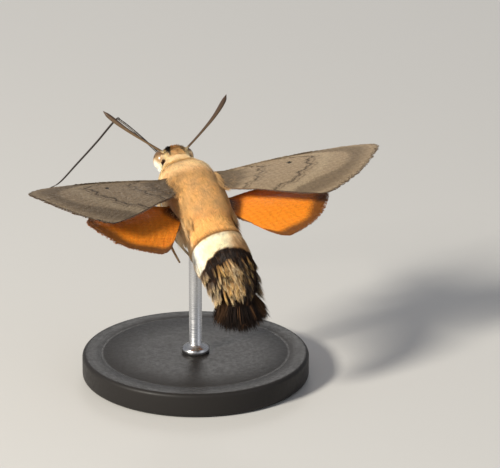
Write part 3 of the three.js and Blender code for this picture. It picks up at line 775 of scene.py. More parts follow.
def tube(name, points, radius, colour, material, nodes, count=120, across=16):
    """A round tapered tube in place of nodes; radius and colour depend on the share of its length and on the
    angle. Returns its middle line: centre, direction, side and up at each of its rings."""
    centres = path_points(points, count)
    way = unit(np.gradient(centres, axis=0))
    side = np.zeros_like(centres)
    side[0] = unit(np.cross(way[0], [0.0, 0.2, 1.0]))
    for i in range(1, count):
        side[i] = unit(side[i - 1] - way[i] * (side[i - 1] @ way[i]))
    up = np.cross(way, side)
    t, a = np.linspace(0, 1, count), np.linspace(0, 2 * np.pi, across, endpoint=False)
    t, a = np.meshgrid(t, a, indexing="ij")
    ring = centres[:, None] + toward(side[:, None], up[:, None], a) * col(radius(t, a))
    points, shade = np.vstack([ring.reshape(-1, 3), centres[0], centres[-1]]), colour(t, a).reshape(-1, 3)
    shade = np.vstack([shade, shade[0], shade[-1]])
    made = mesh_object(name, points, closed_tube(count, across), material, shade)
    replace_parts(made, *nodes)
    return centres, way, side, up


def hairs_on(line, radius, rng, count, lift, stray):
    """Hair rooted all over a tube: roots, directions, outward directions, numbers of rings and angles."""
    centres, way, side, up = line
    last = len(centres) - 1
    i, angle = rng.integers(0, last - 1, count), rng.uniform(0, 2 * np.pi, count)
    out = toward(side[i], up[i], angle)
    root = centres[i] + out * col(radius(i / last)[:, 0] * 0.95)
    direction = way[i] + out * col(rng.uniform(*lift, count)) + stray * rng.standard_normal((count, 3))
    return root, unit(direction), out, i, angle


ANTENNA_ROOT = in_head(0.41 * HEAD_WIDTH, 0.55 * HEAD_LENGTH, 0.31 * HEAD_WIDTH)
ANTENNA_WAY = unit(np.array([6.0, 4.4, 2.7]))
ANTENNA_LENGTH, ANTENNA_JOINTS = 8.6, 62
# The feeler's bow forwards by share of its length; its root lies inside the head
ANTENNA_BOW = ((-0.03, 0), (0.3, -0.25), (0.65, -0.3), (0.9, 0.05), (1, 0.4))


def make_antenna(side, sign):
    """A club that thickens towards its hooked tip, in short joints, lit along its inner side."""
    shape = smooth([
        [0, 0.17], [0.06, 0.14], [0.3, 0.15], [0.6, 0.22], [0.82, 0.29], [0.92, 0.25], [0.97, 0.12],
        [1, 0.035],
    ])
    share, bow = (col(value) for value in zip(*ANTENNA_BOW))
    path = ANTENNA_ROOT + ANTENNA_WAY * share * ANTENNA_LENGTH + Y * bow

    def radius(t, a):
        return shape(t)[..., 0] * (0.95 + 0.1 * (t * ANTENNA_JOINTS % 1))

    def colour(t, a):
        lit = step(0.1, 0.8, np.cos(a) * sign)
        return layered(
            rgb("33231a"), (rgb("5a4331"), 0.6 * (t * ANTENNA_JOINTS % 1)),
            (rgb("a5875f"), 0.35 * lit * (1 - t ** 3)), (rgb("c9b48e"), step(0.07, 0.0, t)),
        )

    tube(f"moth_antenna_{side}", path * [sign, 1, 1], radius, colour, antenna_look,
         [f"antenna_{side}"], 400, 18)


PROBOSCIS_PATH = [
    in_head(0, 2.3, -1.5), in_head(0, 2.9, -1.85), (-0.9, 10.6, -2.7), (-2.4, 14.2, -2.9), (-3.6, 16.3, -2.9),
    (-4.05, 16.85, -3.3), (-5.6, 17.4, -7.8), (-7.2, 18.1, -12.4), (-8.7, 18.5, -16), (-10.1, 18.6, -17.1),
]


def make_proboscis():
    """A dark, finely ringed tube with a groove along it."""
    shape = smooth([[0, 0.2], [0.1, 0.16], [0.5, 0.135], [0.9, 0.11], [1, 0.04]])

    def radius(t, a):
        groove = 1 - 0.16 * bell(np.abs((a + np.pi / 2) % (2 * np.pi) - np.pi), 0, 0.35)
        return shape(t)[..., 0] * groove * (1 + 0.025 * np.sin(t * 900))

    def colour(t, a):
        return mix(rgb("15100d"), rgb("2b1d14"), 0.5 + 0.5 * np.sin(t * 900))

    tube("moth_proboscis", PROBOSCIS_PATH, radius, colour, proboscis_look,
         ["proboscis_upper", "proboscis_lower"], 420)


def make_palp(side, sign):
    """A short furry feeler beside the proboscis, brown outside and at the tip."""
    path = [in_head(0.85 * sign, 1.3, -1.6), in_head(0.8 * sign, 3, -1.75), in_head(0.7 * sign, 3.9, -1.1)]
    shape = smooth([[0, 0.36], [0.5, 0.42], [0.85, 0.3], [1, 0.08]])

    def radius(t, a):
        return shape(t)[..., 0]

    def colour(t, a):
        return mix(rgb("d8ccb0"), rgb("8d7458"), step(0.6, 1, t))

    name = f"moth_palp_{side}"
    line = tube(name, path, radius, colour, skin_look, [f"palp_{side}"], 60, 20)
    rng, n = np.random.default_rng(21 + sign), 2200
    root, way, out, i, a = hairs_on(line, shape, rng, n, (0.15, 0.4), 0.1)
    outer = step(0.2, 0.8, out[:, 0] * sign) * step(0.1, -0.5, -out[:, 2])
    shade = tinted(rng, mix(WHITE, rgb("9a7c57"), np.maximum(0.7 * outer, step(45, 56, i))))
    uv = vectors(0.4 + 0.1 * sign + 0.05 * a / 6.3, 0.02 + 0.001 * i)
    long, wide = rng.uniform(0.3, 0.5, n), rng.uniform(0.05, 0.09, n)
    tufts(f"{name}_coat", root, way, out, long, wide, shade, 1.2, uv, slot="pale_fur", rings=(0.0, 0.5))


for side, sign in SIDES:
    make_antenna(side, sign)
make_proboscis()
for side, sign in SIDES:
    make_palp(side, sign)


# Wings

GREY_BROWN, WING_DARK, WING_PALE = rgb("86735d"), rgb("33261c"), rgb("9c8b72")
ORANGE, HIND_DARK = rgb("de7d16"), rgb("4a2c17")
# Cross lines of the forewing: share of its length, half width and depth
CROSS_LINES = ((0.27, 0.010, 0.9), (0.305, 0.006, 0.5), (0.575, 0.012, 0.9), (0.615, 0.006, 0.55))


def mottle(x, y, across, along):
    """A fine pattern from 0 to 1 over the wing's plane."""
    return 0.5 + 0.25 * np.sin(x * across + 3 * y) + 0.25 * np.sin(y * along - 2.1 * x)


def forewing_colour(t, r, x, y, under):
    """Grey-brown with dark cross lines and a dot; orange-brown below. t and r as for Wing."""
    if under:
        return layered(
            rgb("b56a2a"), (rgb("7b5636"), step(0.25, 0.75, t)), (rgb("5d452f"), step(0.8, 0.95, t)))
    wave = 0.016 * np.sin(r * 26) + 0.01 * np.sin(r * 61 + 1)
    bent = wave + 0.05 * (0.5 - r) ** 2 - 0.03 * r
    dot = ((t - 0.44) / 0.014) ** 2 + ((r - 0.36) / 0.035) ** 2
    return layered(
        GREY_BROWN, (WING_PALE, 0.5 * mottle(x, y, 9.1, 12.3)),
        (WING_DARK, 0.55 * step(0.22, 0.12, t + wave)),
        (WING_PALE, 0.6 * bell(t, 0.66, 0.05)),
        *((WING_DARK, depth * bell(t, place + bent, half)) for place, half, depth in CROSS_LINES),
        (WING_DARK, 0.45 * step(0.74, 0.8, t + 0.06 * np.sin(r * 9)) * step(0.97, 0.86, t)),
        (WING_DARK, 0.5 * step(0.12, 0.0, r) * step(0.4, 0.9, t)),
        (WING_DARK, 0.5 * step(0.965, 0.985, t)),
        (rgb("15100c"), step(1.6, 0.7, dot)),
    )


def hindwing_colour(t, r, x, y, under):
    """Orange, dark at the root and along the margin."""
    if under:
        return layered(rgb("dd9a3c"), (ORANGE, step(0.3, 0.7, t)), (rgb("70472a"), 0.8 * step(0.84, 0.95, t)))
    return layered(
        ORANGE, (rgb("f0982c"), 0.6 * mottle(x, y, 7.1, 10.3)),
        (HIND_DARK, step(0.2, 0.04, t)),
        (HIND_DARK, 0.85 * step(0.83, 0.93, t + 0.015 * np.sin(r * 20))),
        (rgb("c9873d"), 0.7 * step(0.12, 0.0, r)),
    )


# Each ray, or vein, in shares of the wing's length: how far forwards it starts at the root, then its middle
# point and its end, each outwards and forwards
WINGS = {
    "forewing": {
        "length": 20.6, "root": (3.1, 1.6, 1.5), "way": (0.97, -0.06, 0.2), "pitch": 16, "camber": 0.5,
        "colour": forewing_colour, "fringe": rgb("6b5846"), "root_hair": rgb("8b7356"),
        "seed": 45, "scales": 12350, "root_hairs": 2600,
        "rays": [
            (0.04, 0.3, 0.065, 0.62, 0.045), (0.03, 0.35, 0.05, 0.73, 0.035), (0.02, 0.45, 0.03, 0.83, 0.018),
            (0.01, 0.5, 0.012, 0.92, -0.008), (0.0, 0.5, -0.012, 0.985, -0.045),
            (-0.012, 0.5, -0.035, 0.975, -0.095), (-0.024, 0.5, -0.06, 0.925, -0.16),
            (-0.036, 0.5, -0.085, 0.865, -0.22), (-0.048, 0.48, -0.115, 0.795, -0.275),
            (-0.06, 0.44, -0.145, 0.715, -0.32), (-0.072, 0.38, -0.185, 0.635, -0.355),
            (-0.085, 0.3, -0.2, 0.58, -0.37), (-0.1, 0.22, -0.25, 0.55, -0.365),
        ],
    },
    "hindwing": {
        "length": 12.6, "root": (3.3, -1.9, 0.35), "way": (0.95, -0.1, 0.16), "pitch": 14, "camber": 0.3,
        "colour": hindwing_colour, "fringe": rgb("8a5a30"), "root_hair": rgb("cf7a30"),
        "seed": 40, "scales": 7800, "root_hairs": 1300,
        "rays": [
            (0.07, 0.35, 0.2, 0.75, 0.17), (0.05, 0.4, 0.13, 0.9, 0.1), (0.03, 0.45, 0.06, 1, -0.02),
            (0.01, 0.45, 0.0, 0.98, -0.17), (-0.01, 0.45, -0.06, 0.88, -0.34),
            (-0.03, 0.42, -0.12, 0.75, -0.47), (-0.05, 0.36, -0.18, 0.6, -0.56),
            (-0.07, 0.28, -0.22, 0.49, -0.6), (-0.09, 0.2, -0.23, 0.4, -0.57),
            (-0.11, 0.12, -0.26, 0.32, -0.5),
        ],
    },
}
WING_ROWS, COLUMNS_PER_CELL = 64, 6
# The membrane starts this share inside the body, and ends just short of the margin that the scales reach
WING_START, WING_END = -0.06, 0.975
INNER_STRETCH, SCALE_GAP = 28, 0.005


class Wing:
    """A right wing's middle surface. Shares t go from root to margin, r from front to hind edge."""

    def __init__(self, kind):
        self.kind, self.info = kind, WINGS[kind]
        self.cells = len(self.info["rays"]) - 1
        self.rays = smooth([(k, *ray) for k, ray in enumerate(self.info["rays"])])
        self.span = unit(np.array(self.info["way"]))
        level, lean = unit(Y - self.span * self.span[1]), math.radians(self.info["pitch"])
        self.front = level * math.cos(lean) - np.cross(self.span, level) * math.sin(lean)
        self.normal = np.cross(self.span, self.front)

    def at(self, t, r):
        """Points, and their places in the wing's plane: outwards and forwards."""
        length = self.info["length"]
        ray, tt = self.rays(r * self.cells), col(np.maximum(t, 0))
        start = (1 - tt) ** 2 * vectors(0, ray[..., 0])
        flat = (start + 2 * tt * (1 - tt) * ray[..., 1:3] + tt ** 2 * ray[..., 3:5]) * length
        bow = np.sin(np.pi * np.clip(-flat[..., 1] / (0.4 * length) + 0.1, 0, 1))
        bow *= np.minimum(1, flat[..., 0] / 4)
        out = flat[..., :1] + INNER_STRETCH * col(np.minimum(t, 0))
        level = np.array(self.info["root"]) + self.span * out + self.front * flat[..., 1:]
        return level + self.normal * col(self.info["camber"] * bow), flat

    def relief(self, t, r):
        """Share of vein, the fold of the membrane between veins, and half its thickness."""
        place = r * self.cells
        vein = bell(np.abs(place - np.round(place)), 0, 0.09) * step(1.02, 0.8, t)
        fold = 0.015 * np.cos(2 * np.pi * place) * step(0.05, 0.3, t)
        return vein, fold, 0.035 + 0.04 * vein + 0.12 * bell(r, 0, 0.012) + 0.25 * step(0.12, 0.0, t)

    def colour(self, t, r, flat, under):
        return self.info["colour"](t, r, flat[..., 0], flat[..., 1], under)


def unwrap(flat, sign=1):
    return 0.5 + 0.02 * flat * [sign, 1]


def make_membrane(wing, side, flip):
    """The thin veined wing, closed by a wall round its rim."""
    rows, across = WING_ROWS, COLUMNS_PER_CELL * wing.cells + 1
    t, r = np.meshgrid(np.linspace(WING_START, WING_END, rows), np.linspace(0, 1, across), indexing="ij")
    point, flat = wing.at(t, r)
    vein, fold, half = wing.relief(t, r)
    middle, thick = point - wing.normal * col(fold), wing.normal * col(half)
    points = np.vstack([(middle + thick).reshape(-1, 3), (middle - thick).reshape(-1, 3)]) * flip
    shade = [wing.colour(t, r, flat, under) * (1 - 0.15 * col(vein)) for under in (False, True)]
    quads, n = grid_faces(rows, across), rows * across
    index = np.arange(n).reshape(rows, across)
    rim = np.concatenate([index[0, :-1], index[:-1, -1], index[-1, :0:-1], index[:0:-1, 0]])
    following = np.roll(rim, -1)
    faces = np.vstack([quads, quads[:, ::-1] + n, vectors(rim, rim + n, following + n, following)])
    faces = faces[:, ::-1] if flip[0] < 0 else faces
    name, shade = f"moth_{wing.kind}_{side}", np.reshape(shade, (-1, 3))
    made = mesh_object(name, points, faces, wing_look, shade)
    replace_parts(made, f"{wing.kind}_{side}")


def make_wing_scales(wing, side, flip, rng):
    """Overlapping scales that lie flat over both faces."""
    amount = wing.info["scales"]
    for face_name, under in (("upper", False), ("under", True)):
        t, r = np.sqrt(rng.uniform(0.0002, 0.98, amount)), rng.uniform(0.0, 1.0, amount)
        p, flat = wing.at(t, r)
        away = unit(wing.at(np.minimum(t + 0.02, 1.0), r)[0] - p)
        face = wing.normal * (-1 if under else 1)
        _, fold, half = wing.relief(t, r)
        root = p - wing.normal * col(fold) + face * col(half + SCALE_GAP)
        shade = tinted(rng, wing.colour(t, r, flat, under), 0.06)
        drift = 0.05 * rng.standard_normal((amount, 3)) * (1 - np.abs(face))
        way = unit(away + face * col(rng.uniform(0.02, 0.07, amount)) + drift)
        face = np.broadcast_to(face, p.shape)
        plates(f"moth_{wing.kind}_{side}_scales_{face_name}", root * flip, way * flip, face * flip,
               rng.uniform(0.22, 0.3, amount), rng.uniform(0.12, 0.16, amount), shade,
               unwrap(flat, -1 if under else 1))


def make_wing_fringe(wing, side, flip, rng, amount=2000):
    """Hair scales round the margin, from the tip to the hind corner, and along the hind edge."""
    r = rng.uniform(0.0, 1.0, amount)
    outer, outer_flat = wing.at(np.full(amount, 0.968), r)
    away = unit(wing.at(np.full(amount, 1.0), r)[0] - outer)
    t = rng.uniform(0.1, 0.97, amount // 2)
    hind, hind_flat = wing.at(t, np.full(amount // 2, 0.99))
    back = unit(hind - wing.at(t, np.full(amount // 2, 0.95))[0])
    p, flat = np.vstack([outer, hind]), np.vstack([outer_flat, hind_flat])
    away = np.vstack([away, unit(back * 0.8 + 0.6 * wing.span)])
    n = len(p)
    shade = tinted(rng, wing.info["fringe"] + np.zeros((n, 3)), 0.25)
    way = unit(away + 0.1 * rng.standard_normal((n, 3)))
    up = np.broadcast_to(wing.normal * flip, p.shape)
    long, wide = rng.uniform(0.26, 0.42, n), rng.uniform(0.05, 0.09, n)
    tufts(f"moth_{wing.kind}_{side}_fringe", p * flip, way * flip, up, long, wide, shade, 0.8, unwrap(flat),
          scale_look, wing.kind, thick=0.15, dark=0.1, **SPIKE)


def make_wing_root_hair(wing, side, flip):
    """Fine hair from the side of the thorax over the root of a wing, above and below."""
    count, normal, span = wing.info["root_hairs"], wing.normal, wing.span
    rng = np.random.default_rng(98 + flip[0])
    t, r = 0.12 * rng.random(count) ** 1.8 - 0.015, rng.uniform(0, 1.0, count)
    face = normal * col(np.where(rng.random(count) < 0.4, -1.0, 1.0))
    p, flat = wing.at(t, r)
    high = np.where(t < 0.03, 0.9 * rng.random(count) ** 1.5, 0.0) + 0.06
    root = p + face * col(high) - span * col(0.75 * high)
    back = wing.front * col(rng.uniform(0.5, 1.3, count))
    way = unit(span * 0.5 - back - face * col(0.35 * high - 0.06) + 0.11 * rng.standard_normal((count, 3)))
    far = step(0.0, 0.1, t)
    base = body_colour(root, root[:, 1], np.arctan2(root[:, 2], root[:, 0]))
    base = tinted(rng, mix(base, wing.info["root_hair"], far))
    tufts(f"moth_{wing.kind}_{side}_root_hair", root * flip, way * flip, face * flip,
          rng.uniform(0.6, 1.5, count) * (1 - 0.5 * far), rng.uniform(0.035, 0.055, count), base, 1.15,
          unwrap(flat, flip[0]), slot=wing.kind, thick=0.25, dark=0.2)


wings = [(Wing(kind), side, np.array([sign, 1, 1])) for kind in WINGS for side, sign in SIDES]
for wing, side, flip in wings:
    make_membrane(wing, side, flip)
    rng = np.random.default_rng(wing.info["seed"] + flip[0])
    make_wing_scales(wing, side, flip, rng)
    make_wing_fringe(wing, side, flip, rng)


# Tail fan

# Layers from the lowest up: clumps, height, length, spread
TAIL_LAYERS = [(6, -0.75, 3.0, 0.85), (9, -0.25, 3.65, 1.0), (8, 0.25, 3.35, 0.95), (7, 0.75, 2.7, 0.85)]
TAIL_ANGLE, TAIL_HALF_WIDTH, TAIL_HAIRS = math.radians(34), 2.15, 1300


def make_tail():
    """A flat fan of dark hair scales, ragged at its end and browner at its upper edges."""
    rng = np.random.default_rng(61)
    at, way, right, up = spine(ABDOMEN_LENGTH + GAP)
    n, groups = TAIL_HAIRS, []
    for layer, (count, height, length, spread) in enumerate(TAIL_LAYERS):
        share = rng.uniform(-1, 1, n)
        level = height * (1 - 0.4 * share ** 2) + rng.uniform(-0.22, 0.22, n)
        start = rng.uniform(-0.6, 0.9, n) - 0.5 * share ** 2
        root = at + right * col(TAIL_HALF_WIDTH * spread * share) + up * col(level) + way * col(start)
        d = toward(way, right, TAIL_ANGLE * spread * share) - up * (0.12 * height)
        d += 0.045 * rng.standard_normal((n, 3))
        clump = 1 - 0.07 * np.abs((share * count * 0.5 + 0.3 * level) % 1 - 0.5) * 2
        reach = length * (1 - 0.16 * share ** 2) * clump * (1 - 0.45 * rng.random(n) ** 2.5)
        base = mix(rgb("0c0705"), rgb("1f130c"), rng.random(n))
        edge = step(0.7, 0.98, np.abs(share)) * (layer > 1)
        base = mix(base, rgb("6d4b2c"), 0.6 * (rng.random(n) < 0.04) + 0.25 * edge)
        uv = vectors(0.5 + 0.1 * share, 0.95 + 0.01 * layer)
        groups.append((root, unit(d), np.broadcast_to(up, root.shape), reach, base, uv))
    root, d, face, reach, base, uv = (np.concatenate(v) for v in zip(*groups))
    made = tufts("moth_tail_fan", root, d, face, reach, rng.uniform(0.06, 0.12, len(root)), base,
                 np.clip(base * 1.2 + 0.002, 0, 1), uv, dark_look, "tail_fur", rings=(0.0, 0.5),
                 widths=((0, 0.7), (0.5, 1.0)), bend=-0.03, thick=0.3)
    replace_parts(made[0], "tail_fan")


make_tail()


# Long locks

def bundle(rng, root, way, out, length, width, depth, count):
    """Roots, directions, outward directions and lengths of many hairs that make one flat tapered lock."""
    side = unit(np.cross(way, out))
    face = np.cross(side, way)
    a, b = rng.uniform(-1, 1, count), rng.uniform(-1, 1, count)
    start = rng.uniform(0, 0.25, count) * length
    p = root + side * col(0.4 * width * a) + face * col(0.5 * depth * b) + way * col(start)
    reach = length * rng.uniform(0.75, 1.0, count) * (1 - 0.25 * np.abs(a)) - start
    goal = root + way * length + side * col(0.25 * width * a)
    d = unit(goal - p) + 0.06 * rng.standard_normal((count, 3))
    return p, unit(d), np.broadcast_to(face, p.shape), reach


def locks(name, rows, seed, per_lock, width, depth, hair, tip_at=1.6, **more):
    """Locks of many hairs, a row each: root, way, out, length, colours of root and tip, share of such tips
    and unwrap."""
    rng = np.random.default_rng(seed)
    groups = []
    for root, way, out, length, base, tip, share, uv in rows:
        p, d, face, reach = bundle(rng, root, unit(way), out, length, width, depth, per_lock)
        pale = (rng.random(per_lock) < share) * rng.uniform(0.6, 1, per_lock)
        spots = uv + rng.uniform(-0.01, 0.01, (per_lock, 2))
        groups.append((p, d, face, reach, base + 0 * p, mix(base, tip, pale), spots))
    p, d, face, reach, base, tip, uv = (np.concatenate(v) for v in zip(*groups))
    tufts(name, p, d, face, reach, rng.uniform(*hair, len(p)), tinted(rng, base), tinted(rng, tip), uv,
          rings=(0.0, 0.5), thick=0.3, dark=0.2, tip_at=tip_at, **more)


def section_point(at, right, up, sizes, angle, depth):
    """A root depth under a section of the body, and the outward direction there."""
    wide, high, low = sizes
    c, s = math.cos(angle), math.sin(angle)
    out = toward(right, up, angle)
    return at + right * wide * c + up * (high if s > 0 else low) * s - out * depth, out


def on_abdomen(d, angle, depth):
    at, way, right, up = spine(d)
    root, out = section_point(at, right, up, abdomen_shape(d / ABDOMEN_LENGTH) * ABDOMEN_WIDTH, angle, depth)
    return root, way, out, (angle / 6.283 % 1, 0.6 + 0.03 * d)


def on_thorax(share, angle, depth):
    at = Y * (THORAX_FRONT - share * THORAX_LENGTH)
    root, out = section_point(at, X, Z, thorax_shape(share) * THORAX_WIDTH, angle, depth)
    return root, out, body_colour(root[None], root[1:2], np.array([angle]))[0], (angle / 6.283 % 1, 0.5)


TUFT_BASE, TUFT_TIP = mix(DARK, BROWN, 0.4), rgb("ffdca6")
# Tufts on each flank: distance, degrees below the middle, length, colours and share of pale tips
FLANK_TUFTS = (
    (3.7, 12, 1.4, WHITE, CREAM, 1.0), (5.2, 4, 1.9, TUFT_BASE, TUFT_TIP, 0.75),
    (6.6, 0, 2.2, TUFT_BASE, TUFT_TIP, 0.5), (7.9, -4, 2.5, TUFT_BASE, TUFT_TIP, 0.9),
)
# The locks of one such tuft: degrees upwards, distance along and share of the length
TUFT_LOCKS = ((-20, -0.3, 0.8), (-8, 0.1, 0.95), (4, -0.1, 1), (16, 0.2, 0.85))


def make_locks():
    """Pale-tipped tufts on the flanks, long hair round the thorax's rear and strands at its sides."""
    rng = np.random.default_rng(70)
    flank, thorax, strands = [], [], []
    for _, sign in SIDES:
        def round_to(degrees):
            return math.radians(degrees if sign > 0 else 180 - degrees)

        for d, below, length, base, tip, pale in FLANK_TUFTS:
            for turn, along, share in TUFT_LOCKS:
                root, way, out, (u, v) = on_abdomen(d + along, round_to(turn - below), 0.4)
                way = way + out * (0.15 + 0.07 * rng.random())
                flank.append((root, way, out, length * share, base, tip, pale, (u, v - 0.03 * along)))
        for degrees in np.linspace(36, -60, 16):
            root, out, base, uv = on_thorax(rng.uniform(0.78, 0.9), round_to(degrees), 0.35)
            length = rng.uniform(2.0, 2.8) + 1.2 * math.exp(-((degrees - 10) / 24) ** 2)
            way = -Y + out * rng.uniform(0.0, 0.03) + np.cross(out, Y) * rng.uniform(-0.08, 0.08)
            thorax.append((root, way, out, length, base, mix(base, CREAM, 0.5), 0.2 + 0.5 * rng.random(), uv))
        for _ in range(9):
            share, degrees = rng.uniform(0.72, 0.88), rng.uniform(-30, -2)
            root, out, base, uv = on_thorax(share, round_to(degrees), 0.3)
            way = -Y + out * rng.uniform(0.03, 0.1) + np.cross(out, Y) * rng.uniform(-0.06, 0.06)
            strands.append((root, way, out, rng.uniform(3.2, 4.7), base, CREAM, 0.8, uv))
    locks("thorax_flank_strands", strands, 73, 26, 0.32, 0.12, (0.035, 0.055), bend=-0.02)
    locks("abdomen_flank_tufts", flank, 71, 100, 0.8, 0.3, (0.035, 0.065), bend=0.03, tip_at=2.2)
    locks("thorax_long_hair", thorax, 72, 60, 0.9, 0.2, (0.04, 0.065), bend=-0.03)


# Pale streaks at the right of the rear: distance, degrees, length and how far they stand off
STRAY_STREAKS = (
    (7.2, 30, 1.6, 0.2), (7.5, 24, 1.9, 0.25), (7.9, 20, 2.2, 0.3), (8.6, 22, 2.3, 0.45), (8.8, 17, 2.6, 0.5),
)
STREAK, STREAK_TIP = rgb("b07c3e"), rgb("edc67f")


def make_gold_scales():
    """Golden streaks on the rear of the back: narrow locks, each with painted light of its own, with dark
    gaps between.
    """
    rng = np.random.default_rng(75)
    rows = []
    for _ in range(210):
        d, degrees = rng.uniform(5.3, 8.7), 101 + np.clip(rng.normal(0, 21), -44, 42)
        root, way, out, uv = on_abdomen(d, math.radians(degrees), 0.3)
        sideways = np.cross(way, out) * rng.normal(0, 0.07)
        # Painted light: spot is a painted highlight that also pales the tips, and locks on the right get
        # painted shade.
        spot = math.exp(-((d - 5.8) / 0.6) ** 2 - ((degrees - 99) / 13) ** 2)
        low_row = (d > 7.0) * (degrees > 92)
        lit = 0.36 + 0.36 * rng.standard_normal() + 0.7 * spot + 0.4 * low_row - 0.4 * (degrees < 88)
        lit = np.clip(lit, 0.03, 1)
        tip = mix(STREAK_TIP, CREAM, max(spot, 0.6 * (rng.random() < 0.15 + 0.4 * low_row)))
        way = way + out * rng.uniform(0.08, 0.18) + sideways
        rows.append((root, way, out, rng.uniform(1.3, 2.4), mix(DARK, STREAK, 0.8 * lit), tip, 0.9 * lit, uv))
    for _ in range(24):
        d, degrees = rng.uniform(6.8, 7.8), rng.uniform(118, 168)
        root, way, out, uv = on_abdomen(d, math.radians(degrees), 0.3)
        way = way + out * rng.uniform(0.05, 0.12)
        rows.append((root, way, out, rng.uniform(1.1, 1.6), TUFT_BASE, rgb("ffdfa8"), 0.9, uv))
    for d, degrees, length, stray in STRAY_STREAKS:
        root, way, out, uv = on_abdomen(d, math.radians(degrees), 0.25)
        rows.append((root, way + out * stray, out, length, BROWN, CREAM, 0.9, uv))
    locks("abdomen_gold_scales", rows, 76, 16, 0.24, 0.1, (0.035, 0.06), bend=-0.04)


make_locks()
make_gold_scales()
for wing, side, flip in wings:
    make_wing_root_hair(wing, side, flip)


# Legs

LEGS = {
    "fore": [(1.5, 3.2, -3.3), (2.4, 5.3, -4.5), (2.2, 2.6, -5.6), (1.7, -1.0, -5.9)],
    "mid": [(2.5, 0.9, -3.1), (3.9, 0.1, -3.3), (4.15, -3.3, -2.8), (4.0, -7.2, -2.7)],
    "hind": [(1.9, -1.6, -3.3), (2.6, 0.8, -4.7), (2.0, -2.4, -5.0), (1.2, -5.6, -4.7)],
}
FEMUR, TIBIA, TARSUS = 0, 1, 2
LEG_SHAPES = (
    smooth([[0, 0.34], [0.4, 0.36], [0.85, 0.27], [1, 0.2]]),
    smooth([[0, 0.2], [0.15, 0.26], [0.75, 0.27], [1, 0.2]]),
    smooth([[0, 0.17], [0.5, 0.14], [0.97, 0.1], [1, 0.05]]),
)
LEG_HAIRS, LEG_HAIR_LENGTHS = (1600, 1500, 1000), (0.3, 0.22, 0.15)
LEG_RINGS, LEG_COLUMNS = 70, 14


def spurs(line, part, leg):
    """The tibia's long spurs, in pairs, or the tarsus's short spines: rows as those of the leg's hair."""
    centres, way, across, up = line
    if part == TIBIA:
        at, length = np.full(2 if leg == "fore" else 4, 66), 0.9
        at[:-2] = 40
    else:
        at, length = np.linspace(8, 66, 10).astype(int), 0.22
    count = len(at)
    out = toward(across[at], up[at], np.pi * np.arange(count) + (0.5 if part == TIBIA else 0))
    return (centres[at] + out * 0.1, unit(way[at] + out * 0.45), out, np.full(count, length),
            rgb("4a3524") + np.zeros((count, 3)), np.full((count, 2), 0.3))


def make_leg(leg, side, sign):
    rng = np.random.default_rng(80 + sign + 10 * len(leg))
    coats = []
    joints = np.array(LEGS[leg]) * [sign, 1, 1]
    for part, name in enumerate(("femur", "tibia", "tarsus")):
        def radius(t, angle):
            rings = 1 - 0.2 * bell((t * 5) % 1, 0.0, 0.12) if part == TARSUS else 1.0
            return LEG_SHAPES[part](t)[..., 0] * rings

        def colour(t, angle):
            return mix(rgb("6d5238"), rgb("8b6f4e"), 0.5 + 0.5 * np.cos(angle))

        a, b = joints[part:part + 2]
        line = tube(f"moth_{leg}_{name}_{side}", [a, (a + b) / 2 + [0.1 * sign, 0, 0.08], b], radius, colour,
                    leg_look, [f"{leg}_{name}_{side}"], LEG_RINGS, LEG_COLUMNS)
        n = LEG_HAIRS[part]
        root, d, out, i, angle = hairs_on(line, LEG_SHAPES[part], rng, n, (0.04, 0.16), 0.04)
        base = mix(rgb("a48a66"), rgb("ddccaa"), 0.6 * rng.random(n) + 0.35 * (part == FEMUR))
        length = LEG_HAIR_LENGTHS[part] * rng.uniform(0.7, 1.2, n)
        uv = vectors(0.1 * part + angle / 60, 0.3 + i / 700)
        coats.append((root, d, out, length, tinted(rng, base), uv))
        if part != FEMUR:
            coats.append(spurs(line, part, leg))
    root, d, out, length, base, uv = (np.concatenate(v) for v in zip(*coats))
    tufts(f"moth_{leg}_leg_coat_{side}", root, d, out, length, rng.uniform(*FINE, len(root)), base, 1.15, uv,
          slot="leg", thick=0.2, dark=0.15, **SPIKE)


for leg in LEGS:
    for side, sign in SIDES:
        make_leg(leg, side, sign)


# Display stand

def lathe(name, profile, material, slot, across):
    """A turned solid in place of the node of its slot's name, from a profile of (radius, height)."""
    profile = np.array(profile, float)
    a = np.linspace(0, 2 * np.pi, across, endpoint=False)
    points = vectors(profile[:, :1] * np.cos(a), profile[:, :1] * np.sin(a), profile[:, 1:])
    faces = grid_faces(len(profile), across, closed=True)
    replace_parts(mesh_object(name, points.reshape(-1, 3), faces, material, body=False), slot)


def make_base():
    """A flat black disc with rounded edges and a fine groove near its rim."""
    black = {"Base Color": (0.018, 0.016, 0.015, 1)}
    material, tree, shader = new_material("stand_lacquer", 0.5, 0.18, black)
    gloss = ranged(tree, noise(tree, 2200, 4), 0.42, 0.55, edges=(0.35, 0.7))
    tree.links.new(gloss, shader.inputs["Roughness"])
    bump(tree, shader, noise(tree, 900, 2), 0.08, 0.00005)
    edge, top, on_axis = 0.5, BASE_THICKNESS, 0.001
    quarter = np.linspace(0, math.pi / 2, 9)
    rounded = [(BASE_RADIUS - edge + edge * math.sin(a), edge * math.cos(a)) for a in quarter]
    lower, upper = [(r, edge - z) for r, z in rounded], [(r, top - edge + z) for r, z in rounded[::-1]]
    groove = [(11.7, top), (11.5, top - 0.12), (11.3, top)]
    profile = [(on_axis, 0.0), *lower, *upper, *groove, (6, top), (on_axis, top)]
    lathe("stand_base_finish", profile, material, "stand_base", 128)


